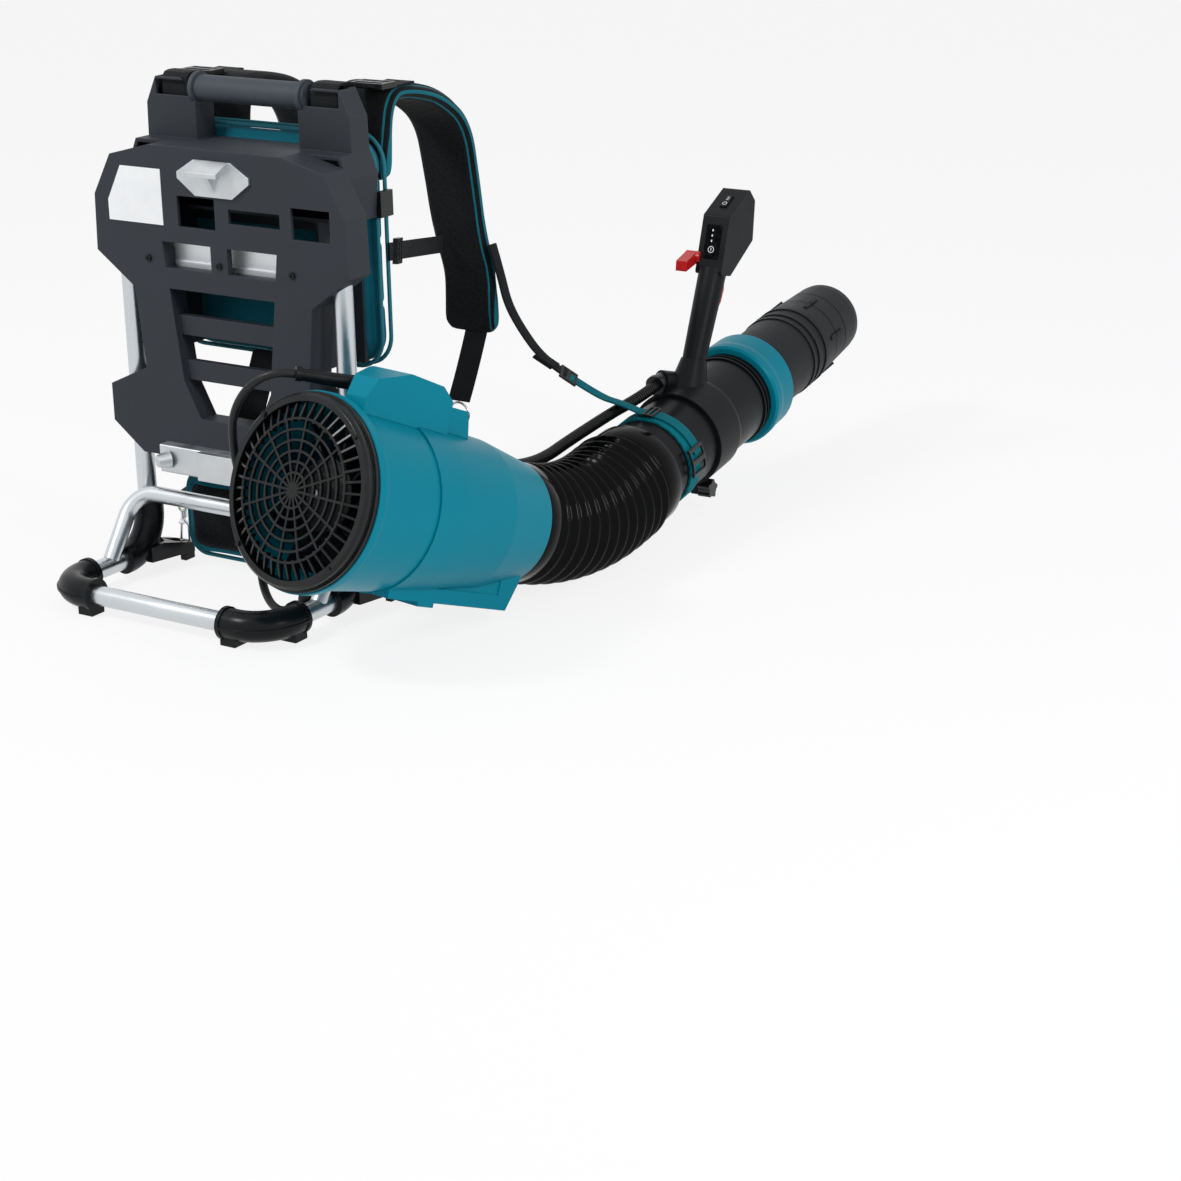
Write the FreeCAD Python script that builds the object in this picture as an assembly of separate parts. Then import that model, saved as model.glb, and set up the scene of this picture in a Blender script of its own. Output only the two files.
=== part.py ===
import FreeCAD
import Part
import math
import os

# Backpack leaf blower, millimetres.
# X is the wearer's right, Y the wearer's front, Z up. The origin lies on the ground,
# midway between the two upright frame tubes and in the plane of their centres.

V = FreeCAD.Vector
X_AXIS = V(1, 0, 0)
Y_AXIS = V(0, 1, 0)
Z_AXIS = V(0, 0, 1)

# Clearances
seat_gap = 0.05
running_gap = 0.3
soft_gap = 0.4

# Tubular frame
tube_diameter = 22.0
tube_wall = 1.6
tube_spacing = 297.4
tube_top = 455.0
tube_joint_height = 75.0
foot_tube_height = 22.5
foot_tube_reach = 157.8
elbow_radius = 45.0
foot_corner_radius = 42.0
arch_diameter = 19.0
arch_wall = 1.5
arch_height = 98.0
arch_corner_radius = 32.0
arch_foot_reach = 72.7

# Rubber boots
boot_thickness = 6.0
boot_ridge_height = 1.6
boot_ridge_width = 3.0
boot_lip_width = 5.0
boot_lip_height = 1.4
boot_pad_width = 20.0
boot_pad_height = 14.0
front_boot_bar_end = 91.0
front_boot_side_end = 104.0
rear_boot_top = 86.0
rear_boot_side_end = 50.0
loop_reach = 64.0
loop_width = 40.0
loop_heel_bottom = 14.0
loop_heel_top = 32.0
loop_tip_bottom = 6.0
loop_tip_top = 15.0
loop_corner = 12.0
loop_window_length = 25.0
loop_window_width = 22.0
loop_rim = 9.0
loop_foot_width = 8.0
loop_foot_length = 16.0

# Carrier plate, seen from behind the wearer
plate_front = -23.0
plate_depth = 38.0
plate_skin = 4.0
plate_wall = 4.0
plate_top = 499.0
plate_top_half = 92.0
plate_shoulder_height = 485.0
plate_shoulder_half = 147.0
plate_cheek_height = 439.0
plate_half_width = 175.0
plate_cheek_bottom = 376.0
plate_waist_top = 339.0
plate_waist_top_half = 124.0
plate_waist_bottom = 248.0
plate_waist_half = 115.0
lobe_top = 223.0
lobe_bottom = 180.0
lobe_half_width = 169.5
plate_bottom = 148.0
plate_bottom_half = 128.0

# Ladder opening in the plate
ladder_top = 394.0
ladder_top_half = 80.0
ladder_shoulder = 238.0
ladder_shoulder_half = 61.0
ladder_bottom = 197.0
ladder_bottom_half = 40.0
ladder_wall = 4.0
ladder_wall_depth = 26.0
bar_recess = 8.0
bar_thickness = 9.0
bar_heights = (353.0, 300.5, 250.0)
bar_width = 22.0
window_bottom = 365.0
window_post_half = 11.5

# Openings beside the catch
slot_height = 34.0
slot_centre_height = 429.5
left_slot_x = -28.3
right_slot_x = 127.6
side_slot_width = 52.0
hand_slot_x = 51.5
hand_slot_width = 70.0
hand_slot_height = 16.0

# Aluminium catch at the top of the plate
catch_height = 468.5
catch_half_width = 49.5
catch_half_height = 19.5
catch_chamfer = 24.0
catch_thickness = 5.0
catch_recess = 2.0
catch_hook_width = 44.0
catch_hook_reach = 20.0
catch_hook_height = 15.0
catch_hook_lift = 5.0
catch_web = 5.0

# Cast bracket at the foot of the plate
bracket_half_width = 92.0
bracket_height = 32.0
bracket_centre = 149.0
bracket_depth = 14.0
bracket_block_half = 32.0
bracket_block_depth = 8.0
bracket_claw_reach = 13.0
bracket_claw_size = 20.0
bracket_claw_place = 79.0
bracket_edge_radius = 2.0

# Rail behind the upper windows, label and screws
rail_height = 40.0
rail_depth = 8.0
rail_lip = 3.0
rail_recess = 13.0
rail_half_length = 99.0
label_left = -153.0
label_right = -75.5
label_bottom = 412.0
label_top = 473.5
label_waist = 434.5
label_corner = 132.5
label_thickness = 0.5
screw_half_spacing = 100.0
screw_height = 373.5
screw_head_diameter = 7.5
screw_head_height = 2.2
screw_shank_diameter = 4.0
screw_length = 12.0
screw_socket = 3.0

# Towers with the carry handle
tower_front = 37.0
tower_back = 68.0
tower_wall = 4.0
tower_inner_half = 71.0
tower_step_half = 151.0
tower_step_height = 474.0
tower_sill_half = 141.0
tower_waist_half = 140.0
tower_top_half = 126.0
tower_top_inner = 92.0
tower_base = 425.0
tower_base_half = 146.0
tower_sill = 497.0
grip_diameter = 29.0
grip_height = 552.0
tower_top = grip_height + 11.0
tower_waist_height = grip_height - 18.0
grip_setback = 49.0
grip_flange_diameter = 36.0
grip_flange_width = 5.0

# Inner walls that carry the back pad
pad_wall_thickness = 4.0
pad_wall_half = 104.0
pad_wall_bottom = 262.0
pad_wall_notch = 400.0
pad_flange_width = 22.0

# Harness
pad_half_width = 146.0
pad_bottom = 254.0
pad_top = tower_top - 50.0
pad_thickness = 24.0
pad_corner_radius = 34.0
pad_edge_inset = 5.0
pad_channel_half_width = 26.0
pad_channel_depth = 5.0
belt_half_width = 126.0
belt_bottom = 10.0
belt_top = 112.0
belt_back = 32.0
belt_thickness = 22.0
belt_corner_radius = 24.0
strap_centre = 98.0
strap_width = 90.0
strap_thickness = 15.0
webbing_width = 30.0
webbing_thickness = 2.4
narrow_webbing_width = 20.0
wide_webbing_width = 36.0
support_width = 15.0
buckle_thickness = 6.0
buckle_length = 26.0
buckle_margin = 4.0
buckle_setback = 108.0
buckle_spread = 119.0
strap_top_height = tower_top - 18.0
strap_root_gap = 2.0
strap_root_drop = 90.0
strap_bends = ((119.0, 1.0), (160.0, 1.0), (214.0, -12.0), (262.0, -47.0), (274.0, -109.0),
               (284.0, -177.0), (306.0, -237.0))
strap_radii = (22.0, 90.0, 90.0, 60.0, 120.0, 160.0, 110.0)
strap_end_reach = 300.0
strap_end_drop = 301.0
tail_length = 46.0
tail_rise = 2.0
anchor_bend = 30.0
anchor_drop = 8.0
belt_strap_low = 46.0
belt_strap_high = 12.0
belt_strap_lap = 6.0
side_strap_height = 384.0
side_strap_drop = 32.0
side_strap_reach = 273.0
side_strap_lap = 8.0
side_loop_height = 438.0
side_loop_length = 28.0
side_loop_width = 22.0
ring_wire = 3.0
ring_diameter = 30.0
ring_place = V(112.0, 258.0, 156.0)
hook_wire = 3.6
hook_gap = 0.9
hook_height = 44.0
hook_eye_radius = 7.5
hook_neck_radius = 4.0
hook_neck_length = 8.0
gate_wire = 3.0
gate_gap = 0.6
hook_lug_drop = 2.0
hook_tip_rise = 3.0
hook_shoulder_drop = 4.0
hook_bow_drop = 12.0
hook_radii = (4.0, 6.0, 5.0, 5.0)

# Blower: the frame's x axis runs along the fan axis from intake to outlet, z is up
blower_place = V(235.0, -194.0, 199.5)
blower_heading = 9.5
blower_dip = 19.5
rim_radius = 100.0
rim_depth = 15.0
rim_wall = 9.0
flange_radius = 104.0
flange_width = 9.0
flange_start = 6.0
barrel_radius = 98.5
joint_distance = 105.0
joint_radius = 93.0
joint_lip = 2.0
shoulder_distance = 150.0
middle_distance = 235.0
middle_radius = 84.0
outlet_distance = 311.0
outlet_radius = 68.0
housing_wall = 3.2
grille_disc_radius = 73.0
grille_spokes = 16
grille_rings = 6
grille_side_ribs = 44
grille_wire = 2.4
grille_disc_lift = 5.0
grille_rim_round = 3.0
grille_band_width = 5.0
grille_band_thickness = 2.5
grille_screw_setback = 3.2
grille_screw_height = 2.0
grille_hub_radius = 7.0
grille_screw_radius = 92.0
grille_screw_diameter = 6.0

# Controller housing on top of the blower and terminal block below it
cover_right = 40.0
cover_left = 18.0
cover_chamfer_side = 12.0
cover_chamfer_end = 76.0
cover_start = 22.0
cover_rear_height = 106.0
cover_rear_top = 36.0
cover_rear_peak = 127.0
cover_peak = 82.0
cover_height = 138.0
cover_front_peak = 131.0
cover_front_height = 132.0
cover_end = 149.0
cover_end_height = 118.0
second_cover_height = 111.0
second_cover_end = 184.0
second_cover_foot = 196.0
second_cover_left = 8.0
second_cover_right = 32.0
cover_wall = 3.0
block_half_width = 45.0
block_start = 106.0
block_bottom = 93.0
block_bottom_end = 290.0
block_end = 304.0
block_end_depth = 58.0
block_wall = 4.0
block_panel_depth = 1.5
block_panel_margin = 16.0
nub_length = 24.0
nub_height = 5.0
nub_place = 152.0

# Fan and motor
fan_start = 32.0
fan_width = 40.0
hub_radius = 38.0
fan_tip_gap = 2.5
fan_blades = 9
blade_thickness = 2.6
blade_twist = 32.0
shaft_diameter = 8.0
motor_radius = 34.0
motor_start = 80.0
motor_length = 78.0
vane_count = 7
vane_thickness = 3.0
vane_start = 112.0
vane_length = 34.0

# Mounting bracket and rubber dampers between the blower and the right-hand tube
mount_plate_thickness = 3.0
mount_plate_gap = 1.0
mount_plate_rear = -62.0
mount_plate_front = 40.0
mount_plate_bottom = 88.0
mount_plate_top = 150.0
collar_wall = 4.0
collar_bottom = 118.0
damper_radius = 11.0
damper_places = ((-42.0, 106.0), (-16.0, 134.0), (22.0, 106.0))

# Bellows: straight cuff, bend and straight end, measured from the bend point
bend_distance = 108.6
bend_tangent = 88.0
pipe_heading = -2.0
pipe_rise = 8.5
hose_crest_radius = 68.0
hose_valley_radius = 61.5
hose_bore_wall = 2.6
hose_cuff_length = 20.0
hose_end = 157.0
hose_end_cuff = 32.0
hose_ribs = 12
hoop_wire = 3.0

# Swivel pipe, lock ring and nozzle, measured from the bend point
pipe_start = 128.0
pipe_radius = 55.5
pipe_wall = 2.2
ring_start = 407.0
ring_length = 52.0
ring_radius = 65.5
ring_land = 12.0
ring_lip = 4.0
ring_turn_ribs = 24
nozzle_radius = 52.7
nozzle_wall = 2.4
nozzle_insert = 92.0
nozzle_end = 689.0
nozzle_taper_start = 582.0
nozzle_tip_radius = 48.0
nozzle_tip_round = 12.0
nozzle_spigot_length = 60.0
nozzle_spigot_radius = 45.0
nozzle_bead = 1.6
nozzle_bead_width = 6.0
nozzle_bead_places = (539.0, 553.0, 573.0)
nozzle_groove_places = (610.0, 641.0)
nozzle_groove = 0.8
nozzle_bars = 6
nozzle_bar_place = 596.0
nozzle_bar_length = 32.0
nozzle_bar_width = 5.0
pipe_bead_places = (389.0, 396.0)

# Control handle
collar_start = 264.0
collar_length = 58.0
collar_thickness = 4.5
knob_radius = 9.0
knob_length = 16.0
knob_lobes = 5
knob_shank_radius = 2.3
lug_length = 14.0
lug_half_width = 12.0
lug_drop = 13.0
grip_bottom = V(286.5, 507.0, 186.0)
grip_top = V(286.5, 551.0, 281.0)
grip_bottom_radius = 14.5
grip_top_radius = 17.0
neck_radius = 25.0
neck_length = 42.0
neck_gap = 1.5
collar_taper = 8.0
collar_taper_drop = 2.0
gland_boss_length = 36.0
gland_boss_lean = V(0.0, -16.0, -12.0)
head_half_width = 18.0
head_rear_bottom = (541.0, 285.0)
head_rear_top = (563.5, 353.0)
head_crown = (613.0, 378.0)
head_front_top = (627.0, 362.0)
head_front_bottom = (621.0, 314.0)
head_throat = (565.0, 280.0)
head_corner_radius = 4.0
trigger_width = 14.0
trigger_length = 34.0
trigger_root = 7.0
trigger_reach = 24.0
trigger_slot_gap = 0.5
trigger_angle = 8.0
trigger_pin_radius = 2.0
trigger_pin_length = 3.0
lever_place = (550.0, 303.0)
lever_radius = 7.0
lever_length = 26.0
lever_drop = 6.0
lever_width = 16.0
lever_thickness = 7.0
lever_root = 4.0
button_radius = 5.5
button_height = 1.6
button_travel = 0.9
button_depth = 4.0
power_button_share = 0.42
top_button_depth = 3.0
top_button_length = 22.0
top_button_width = 9.0

# Control conduit with its gland on the handle and its boss on the blower
conduit_diameter = 14.0
conduit_hose_offset = 80.0
conduit_hose_angle = 46.0
conduit_lead = 20.0
conduit_pipe_stops = ((220.0, 71.0, 30.0), (194.0, 74.0, 37.0))
conduit_hose_places = (210.0, 170.0, 128.0, 86.0, 44.0)
gland_radius = 10.5
gland_length = 20.0
gland_nut_length = 6.0
gland_wall = 3.0
gland_height = 66.0
gland_side = 26.0
boss_radius = 11.0
boss_length = 36.0
boss_setback = 12.0

# Teal webbing round the pipe
pipe_strap_place = 190.0
pipe_strap_width = 24.0
pipe_strap_thickness = 2.4
pipe_strap_gap = 0.2
strap_buckle_margin = 3.0
strap_buckle_half = 20.0
strap_buckle_height = 9.0
strap_buckle_round = 3.0
strap_buckle_angles = (12.0, 82.0)

# Support webbing, from the right-hand shoulder strap to the strap on the pipe
support_start = V(144.8, 288.8, 355.0)
support_bends = (
    V(146.2, 303.5, 315.0),
    V(153.0, 305.9, 281.0),
    V(167.0, 317.6, 246.0),
    V(184.0, 331.8, 214.0),
)
support_angle = 10.0
support_over_stops = ((196.0, 96.8, 38.3), (199.0, 78.7, 25.6))

# Power cord with its strain relief and plug
cord_diameter = 9.0
sleeve_start = V(74.0, 6.0, 118.0)
sleeve_end = V(6.0, 50.0, 114.0)
sleeve_radius = 8.5
sleeve_tip_radius = 6.5
sleeve_collar_length = 6.0
sleeve_collar_lip = 1.5
sleeve_grip = 10.0
cord_lead = 14.0
cord_points = (
    V(163.0, -163.0, 302.0),
    V(141.0, -166.0, 283.0),
    V(124.0, -164.0, 255.0),
    V(118.0, -158.0, 224.0),
    V(119.0, -155.0, 198.0),
    V(124.0, -150.0, 170.0),
    V(127.0, -144.0, 140.0),
    V(126.0, -138.0, 110.0),
    V(122.0, -131.0, 80.0),
    V(116.0, -120.0, 52.0),
    V(111.0, -102.0, 27.0),
    V(109.0, -78.0, 12.6),
    V(108.0, -52.0, 12.6),
)
plug_radius = 12.0
plug_length = 46.0
plug_tail = 14.0
plug_socket_depth = 12.0
plug_socket_wall = 2.5


def make_box(x0, x1, y0, y1, z0, z1):
    return Part.makeBox(x1 - x0, y1 - y0, z1 - z0, V(x0, y0, z0))


def rod(start, end, radius):
    return Part.makeCylinder(radius, (end - start).Length, start, end - start)


def cone(start, end, radius, end_radius):
    return Part.makeCone(radius, end_radius, (end - start).Length, start, end - start)


def slab(points, y0, y1):
    corners = [V(x, y0, z) for x, z in points]
    face = Part.Face(Part.makePolygon(corners + corners[:1]))
    return face.extrude(V(0, y1 - y0, 0))


def side_slab(points, x0, x1):
    corners = [V(x0, y, z) for y, z in points]
    face = Part.Face(Part.makePolygon(corners + corners[:1]))
    return face.extrude(V(x1 - x0, 0, 0))


def mirrored(points):
    return points + [(-x, z) for x, z in reversed(points) if x != 0]


def rounded_slab(x0, x1, z0, z1, y0, y1, radius):
    body = make_box(x0, x1, y0, y1, z0, z1)
    upright = [e for e in body.Edges if abs(e.tangentAt(e.FirstParameter).y) > 0.99]
    return body.makeFillet(radius, upright)


def route(points, radii):
    edges = []
    here = points[0]
    for before, corner, after, radius in zip(points, points[1:], points[2:], radii):
        into = (corner - before).normalize()
        out = (after - corner).normalize()
        turn = into.getAngle(out)
        setback = radius * math.tan(turn / 2)
        start = corner - into * setback
        end = corner + out * setback
        bisector = (out - into).normalize()
        middle = corner + bisector * (radius / math.cos(turn / 2) - radius)
        if (start - here).Length > 1e-6:
            edges.append(Part.LineSegment(here, start).toShape())
        edges.append(Part.Arc(start, middle, end).toShape())
        here = end
    edges.append(Part.LineSegment(here, points[-1]).toShape())
    return Part.Wire(edges)


def round_sweep(path, radius):
    first = path.Edges[0]
    start = first.valueAt(first.FirstParameter)
    heading = first.tangentAt(first.FirstParameter)
    profile = Part.Wire([Part.Circle(start, heading, radius).toShape()])
    return path.makePipeShell([profile], True, False)


def ribbon(points, radii, width, thickness, across=X_AXIS):
    path = route(points, radii)
    heading = (points[1] - points[0]).normalize()
    side = (across - heading * across.dot(heading)).normalize()
    up = heading.cross(side).normalize()
    corners = []
    for sx, sz in ((-1, -1), (1, -1), (1, 1), (-1, 1)):
        corners.append(points[0] + side * (sx * width / 2) + up * (sz * thickness / 2))
    profile = Part.makePolygon(corners + corners[:1])
    return path.makePipeShell([profile], True, False)


def flat_strip(start, end, width, thickness, across=X_AXIS):
    heading = (end - start).normalize()
    side = (across - heading * across.dot(heading)).normalize()
    up = heading.cross(side).normalize()
    corners = []
    for sx, sz in ((-1, -1), (1, -1), (1, 1), (-1, 1)):
        corners.append(start + side * (sx * width / 2) + up * (sz * thickness / 2))
    return Part.Face(Part.makePolygon(corners + corners[:1])).extrude(end - start)


def turned(profile):
    corners = [V(x, 0, r) for x, r in profile]
    face = Part.Face(Part.makePolygon(corners + corners[:1]))
    return face.revolve(V(0, 0, 0), X_AXIS, 360)


def washer(x0, x1, outer, inner):
    return turned([(x0, inner), (x1, inner), (x1, outer), (x0, outer)])


def around(shape, count, axis=X_AXIS, start=0.0):
    copies = []
    for k in range(count):
        copy = shape.copy()
        copy.rotate(V(0, 0, 0), axis, start + 360.0 * k / count)
        copies.append(copy)
    return copies


def mirror_x(shape):
    return shape.mirror(V(0, 0, 0), X_AXIS)


def fused(shapes):
    return shapes[0].fuse(shapes[1:]).removeSplitter()


def group(shapes):
    return Part.makeCompound(shapes)


def frame_at(place, heading, dip):
    return FreeCAD.Placement(place, FreeCAD.Rotation(90.0 - heading, dip, 0.0))


def placed(shape, placement):
    return shape.transformed(placement.toMatrix())


blower_frame = frame_at(blower_place, blower_heading, blower_dip)
bend_point = blower_frame.multVec(V(outlet_distance + bend_distance, 0, 0))
pipe_frame = frame_at(bend_point, pipe_heading, -pipe_rise)

tube_radius = tube_diameter / 2
half_spacing = tube_spacing / 2
arch_radius = arch_diameter / 2
arch_setback = -(tube_radius + arch_radius + running_gap)
tube_seat = tube_radius + seat_gap
arch_seat = arch_radius + seat_gap


# Tubular frame

def frame_route():
    low = foot_tube_height
    return route(
        [
            V(-half_spacing, 0, tube_top),
            V(-half_spacing, 0, low),
            V(-half_spacing, -foot_tube_reach, low),
            V(half_spacing, -foot_tube_reach, low),
            V(half_spacing, 0, low),
            V(half_spacing, 0, tube_top),
        ],
        [elbow_radius, foot_corner_radius, foot_corner_radius, elbow_radius],
    )


def frame_halves():
    path = frame_route()
    tube = round_sweep(path, tube_radius).cut(round_sweep(path, tube_radius - tube_wall))
    reach = half_spacing + tube_diameter
    upper = make_box(-reach, reach, -tube_diameter, tube_diameter, tube_joint_height, tube_top + 1)
    return tube.cut(upper), tube.common(upper)


def frame_space():
    return round_sweep(frame_route(), tube_seat)


def arch_route():
    foot = foot_tube_height
    return route(
        [
            V(-half_spacing, -arch_foot_reach, foot),
            V(-half_spacing, arch_setback, arch_height),
            V(half_spacing, arch_setback, arch_height),
            V(half_spacing, -arch_foot_reach, foot),
        ],
        [arch_corner_radius, arch_corner_radius],
    )


def arch_tube(tube_cutter):
    path = arch_route()
    outer = round_sweep(path, arch_radius)
    inner = round_sweep(path, arch_radius - arch_wall)
    return outer.cut(inner).cut(tube_cutter)


def arch_space():
    return round_sweep(arch_route(), arch_seat)


# Rubber boots

def front_boot(tube_cutter):
    radius = tube_radius + boot_thickness
    low = foot_tube_height
    corners = [
        V(half_spacing, -front_boot_side_end, low),
        V(half_spacing, -foot_tube_reach, low),
        V(front_boot_bar_end, -foot_tube_reach, low),
    ]
    pieces = [round_sweep(route(corners, [foot_corner_radius]), radius)]
    pieces.append(ribbon(corners, [foot_corner_radius], 2 * (radius + boot_ridge_height),
                         boot_ridge_width))
    lip = radius + boot_lip_height
    pieces.append(rod(corners[0], corners[0] - Y_AXIS * boot_lip_width, lip))
    pieces.append(rod(corners[2], corners[2] + X_AXIS * boot_lip_width, lip))
    half_pad = boot_pad_width / 2
    side_end = -front_boot_side_end
    bar = -foot_tube_reach
    pieces.append(make_box(half_spacing - half_pad, half_spacing + half_pad,
                           side_end - boot_pad_width, side_end, 0, boot_pad_height))
    pieces.append(make_box(front_boot_bar_end, front_boot_bar_end + boot_pad_width,
                           bar - half_pad, bar + half_pad, 0, boot_pad_height))
    return fused(pieces).cut(tube_cutter)


def rear_boot(tube_cutter, arch_cutter):
    radius = tube_radius + boot_thickness
    low = foot_tube_height
    path = route(
        [
            V(half_spacing, 0, rear_boot_top),
            V(half_spacing, 0, low),
            V(half_spacing, -rear_boot_side_end, low),
        ],
        [elbow_radius],
    )
    half_loop = loop_width / 2
    heel = elbow_radius / 2
    pieces = [round_sweep(path, radius)]
    profile = [(-heel, loop_heel_bottom), (loop_reach, loop_tip_bottom),
               (loop_reach, loop_tip_top), (0, loop_heel_top), (-heel, loop_heel_top)]
    loop = side_slab(profile, half_spacing - half_loop, half_spacing + half_loop)
    rim_end = loop_reach - loop_rim
    foot_end = rim_end - loop_foot_width / 2
    corner = loop_corner
    plan = [V(half_spacing - half_loop, -heel, 0), V(half_spacing + half_loop, -heel, 0),
            V(half_spacing + half_loop, loop_reach - corner, 0),
            V(half_spacing + half_loop - corner, loop_reach, 0),
            V(half_spacing - half_loop + corner, loop_reach, 0),
            V(half_spacing - half_loop, loop_reach - corner, 0)]
    outline = Part.Face(Part.makePolygon(plan + plan[:1])).extrude(V(0, 0, loop_heel_top))
    window = make_box(half_spacing - loop_window_width / 2, half_spacing + loop_window_width / 2,
                      rim_end - loop_window_length, rim_end, 0, loop_heel_top)
    pieces.append(loop.common(outline))
    for side in (-1, 1):
        centre = half_spacing + side * (half_loop - loop_foot_width / 2)
        pieces.append(make_box(centre - loop_foot_width / 2, centre + loop_foot_width / 2,
                               foot_end - loop_foot_length, foot_end, 0, loop_tip_top))
    gusset = side_slab([(0, loop_heel_top), (rim_end - loop_window_length, loop_tip_top),
                        (0, rear_boot_top / 2)],
                       half_spacing - boot_thickness, half_spacing + boot_thickness)
    pieces.append(gusset)
    return fused(pieces).cut(window).cut(tube_cutter).cut(arch_cutter)


# Carrier plate

def plate_outline():
    return mirrored([
        (plate_top_half, plate_top),
        (plate_shoulder_half, plate_shoulder_height),
        (plate_half_width - 2, plate_cheek_height),
        (plate_half_width, plate_cheek_bottom),
        (plate_waist_top_half, plate_waist_top),
        (plate_waist_half, plate_waist_bottom),
        (lobe_half_width, lobe_top),
        (lobe_half_width, lobe_bottom),
        (plate_bottom_half, plate_bottom),
    ])


def ladder_outline():
    return mirrored([
        (ladder_top_half, ladder_top),
        (ladder_shoulder_half, ladder_shoulder),
        (ladder_bottom_half, ladder_bottom),
    ])


def ladder_half_at(height):
    share = (height - ladder_shoulder) / (ladder_top - ladder_shoulder)
    return ladder_shoulder_half + share * (ladder_top_half - ladder_shoulder_half)


def grown(points, amount):
    area = 0.0
    for (x0, z0), (x1, z1) in zip(points, points[1:] + points[:1]):
        area += x0 * z1 - x1 * z0
    sign = 1.0 if area > 0 else -1.0
    lines = []
    for (x0, z0), (x1, z1) in zip(points, points[1:] + points[:1]):
        length = math.hypot(x1 - x0, z1 - z0)
        ux = (x1 - x0) / length
        uz = (z1 - z0) / length
        lines.append((x0 + uz * amount * sign, z0 - ux * amount * sign, ux, uz))
    corners = []
    for (ax, az, aux, auz), (bx, bz, bux, buz) in zip(lines[-1:] + lines[:-1], lines):
        cross = aux * buz - auz * bux
        share = ((bx - ax) * buz - (bz - az) * bux) / cross
        corners.append((ax + aux * share, az + auz * share))
    return corners


def widened(points, y0, y1, amount):
    return slab(grown(points, amount), y0, y1)


def catch_outline(grow):
    half = catch_half_width + grow
    tall = catch_half_height + grow
    low = catch_height - tall
    high = catch_height + tall
    cut = catch_chamfer
    return [
        (half - cut, high), (half, high - cut * 0.6), (half, catch_height - 2), (half - cut, low),
        (cut - half, low), (-half, catch_height - 2), (-half, high - cut * 0.6), (cut - half, high),
    ]


def carrier_plate(tube_cutter):
    back = plate_front + plate_depth
    shell = slab(plate_outline(), plate_front, back)
    cavity = widened(plate_outline(), plate_front + plate_skin, back + 1, -plate_wall)
    body = shell.cut(cavity)
    ladder_back = plate_front + ladder_wall_depth
    body = body.fuse(widened(ladder_outline(), plate_front, ladder_back, ladder_wall))
    body = body.cut(slab(ladder_outline(), plate_front - 1, ladder_back + 1))
    bars = []
    bar_front = plate_front + bar_recess
    for height in bar_heights:
        low = height - bar_width / 2
        high = height + bar_width / 2
        low_half = ladder_half_at(low) + ladder_wall / 2
        high_half = ladder_half_at(high) + ladder_wall / 2
        corners = [(-low_half, low), (low_half, low), (high_half, high), (-high_half, high)]
        bars.append(slab(corners, bar_front, bar_front + bar_thickness))
    post_bottom = bar_heights[0]
    bars.append(make_box(-window_post_half, window_post_half, plate_front,
                         plate_front + bar_recess, post_bottom, ladder_top + ladder_wall / 2))
    bars.append(make_box(-ladder_half_at(window_bottom), ladder_half_at(window_bottom), plate_front,
                         plate_front + bar_recess, post_bottom - bar_width / 2, window_bottom))
    body = body.fuse(bars).removeSplitter()
    low = slot_centre_height - slot_height / 2
    high = slot_centre_height + slot_height / 2
    cuts = []
    for x in (left_slot_x, right_slot_x):
        half = side_slot_width / 2
        cuts.append(make_box(x - half, x + half, plate_front - 1, plate_front + plate_skin + 1,
                             low, high))
    hand_half = hand_slot_width / 2
    hand_low = slot_centre_height - hand_slot_height / 2
    hand_high = slot_centre_height + hand_slot_height / 2
    cuts.append(make_box(hand_slot_x - hand_half, hand_slot_x + hand_half, plate_front - 1,
                         plate_front + plate_skin + 1, hand_low, hand_high))
    recess = slab(catch_outline(seat_gap), plate_front - 1, plate_front + catch_recess)
    cuts.append(recess)
    hole = screw_shank_diameter / 2 + seat_gap
    for x in (-screw_half_spacing, 0.0, screw_half_spacing):
        cuts.append(rod(V(x, plate_front - 1, screw_height),
                        V(x, plate_front + plate_skin + bar_recess, screw_height), hole))
    cuts.append(rail_space(seat_gap))
    return body.cut(fused(cuts)).cut(tube_cutter)


def rail_space(grow):
    front = plate_front + rail_recess + ladder_wall - grow
    back = plate_front + rail_recess + ladder_wall + rail_depth + grow
    centre = (window_bottom + ladder_top) / 2
    half = rail_height / 2 + grow
    length = rail_half_length + grow
    return make_box(-length, length, front, back, centre - half, centre + half)


def plate_screws():
    screws = []
    for x in (-screw_half_spacing, 0.0, screw_half_spacing):
        face = V(x, plate_front, screw_height)
        head = rod(face - V(0, screw_head_height, 0), face, screw_head_diameter / 2)
        shank = rod(face, face + V(0, screw_length - screw_head_height, 0),
                    screw_shank_diameter / 2)
        socket = rod(face - V(0, screw_head_height + 1, 0), face - V(0, screw_head_height / 2, 0),
                     screw_socket / 2)
        screws.append(head.fuse(shank).cut(socket).removeSplitter())
    return group(screws)


def label_plate():
    middle = (label_left + label_right) / 2
    corners = [
        (-label_corner, label_top), (label_right, label_top), (label_right, label_bottom),
        (middle, label_bottom), (label_left, label_bottom), (label_left, label_waist),
    ]
    return slab(corners, plate_front - label_thickness, plate_front)


def upper_catch():
    back = plate_front + catch_recess
    body = slab(catch_outline(0.0), back - catch_thickness, back)
    hook_low = catch_height + catch_hook_lift
    hook_high = hook_low + catch_hook_height
    half = catch_hook_width / 2
    face = back - catch_thickness
    tip = face - catch_hook_reach
    hook = side_slab([(face, hook_high), (tip, hook_low + catch_web), (tip, hook_low),
                      (face, hook_low + catch_web)], -half, half)
    web = side_slab([(face, hook_high), (tip + catch_web, hook_low + catch_web),
                     (face, catch_height - catch_half_height + catch_web)],
                    -catch_web / 2, catch_web / 2)
    return fused([body, hook, web])


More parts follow.
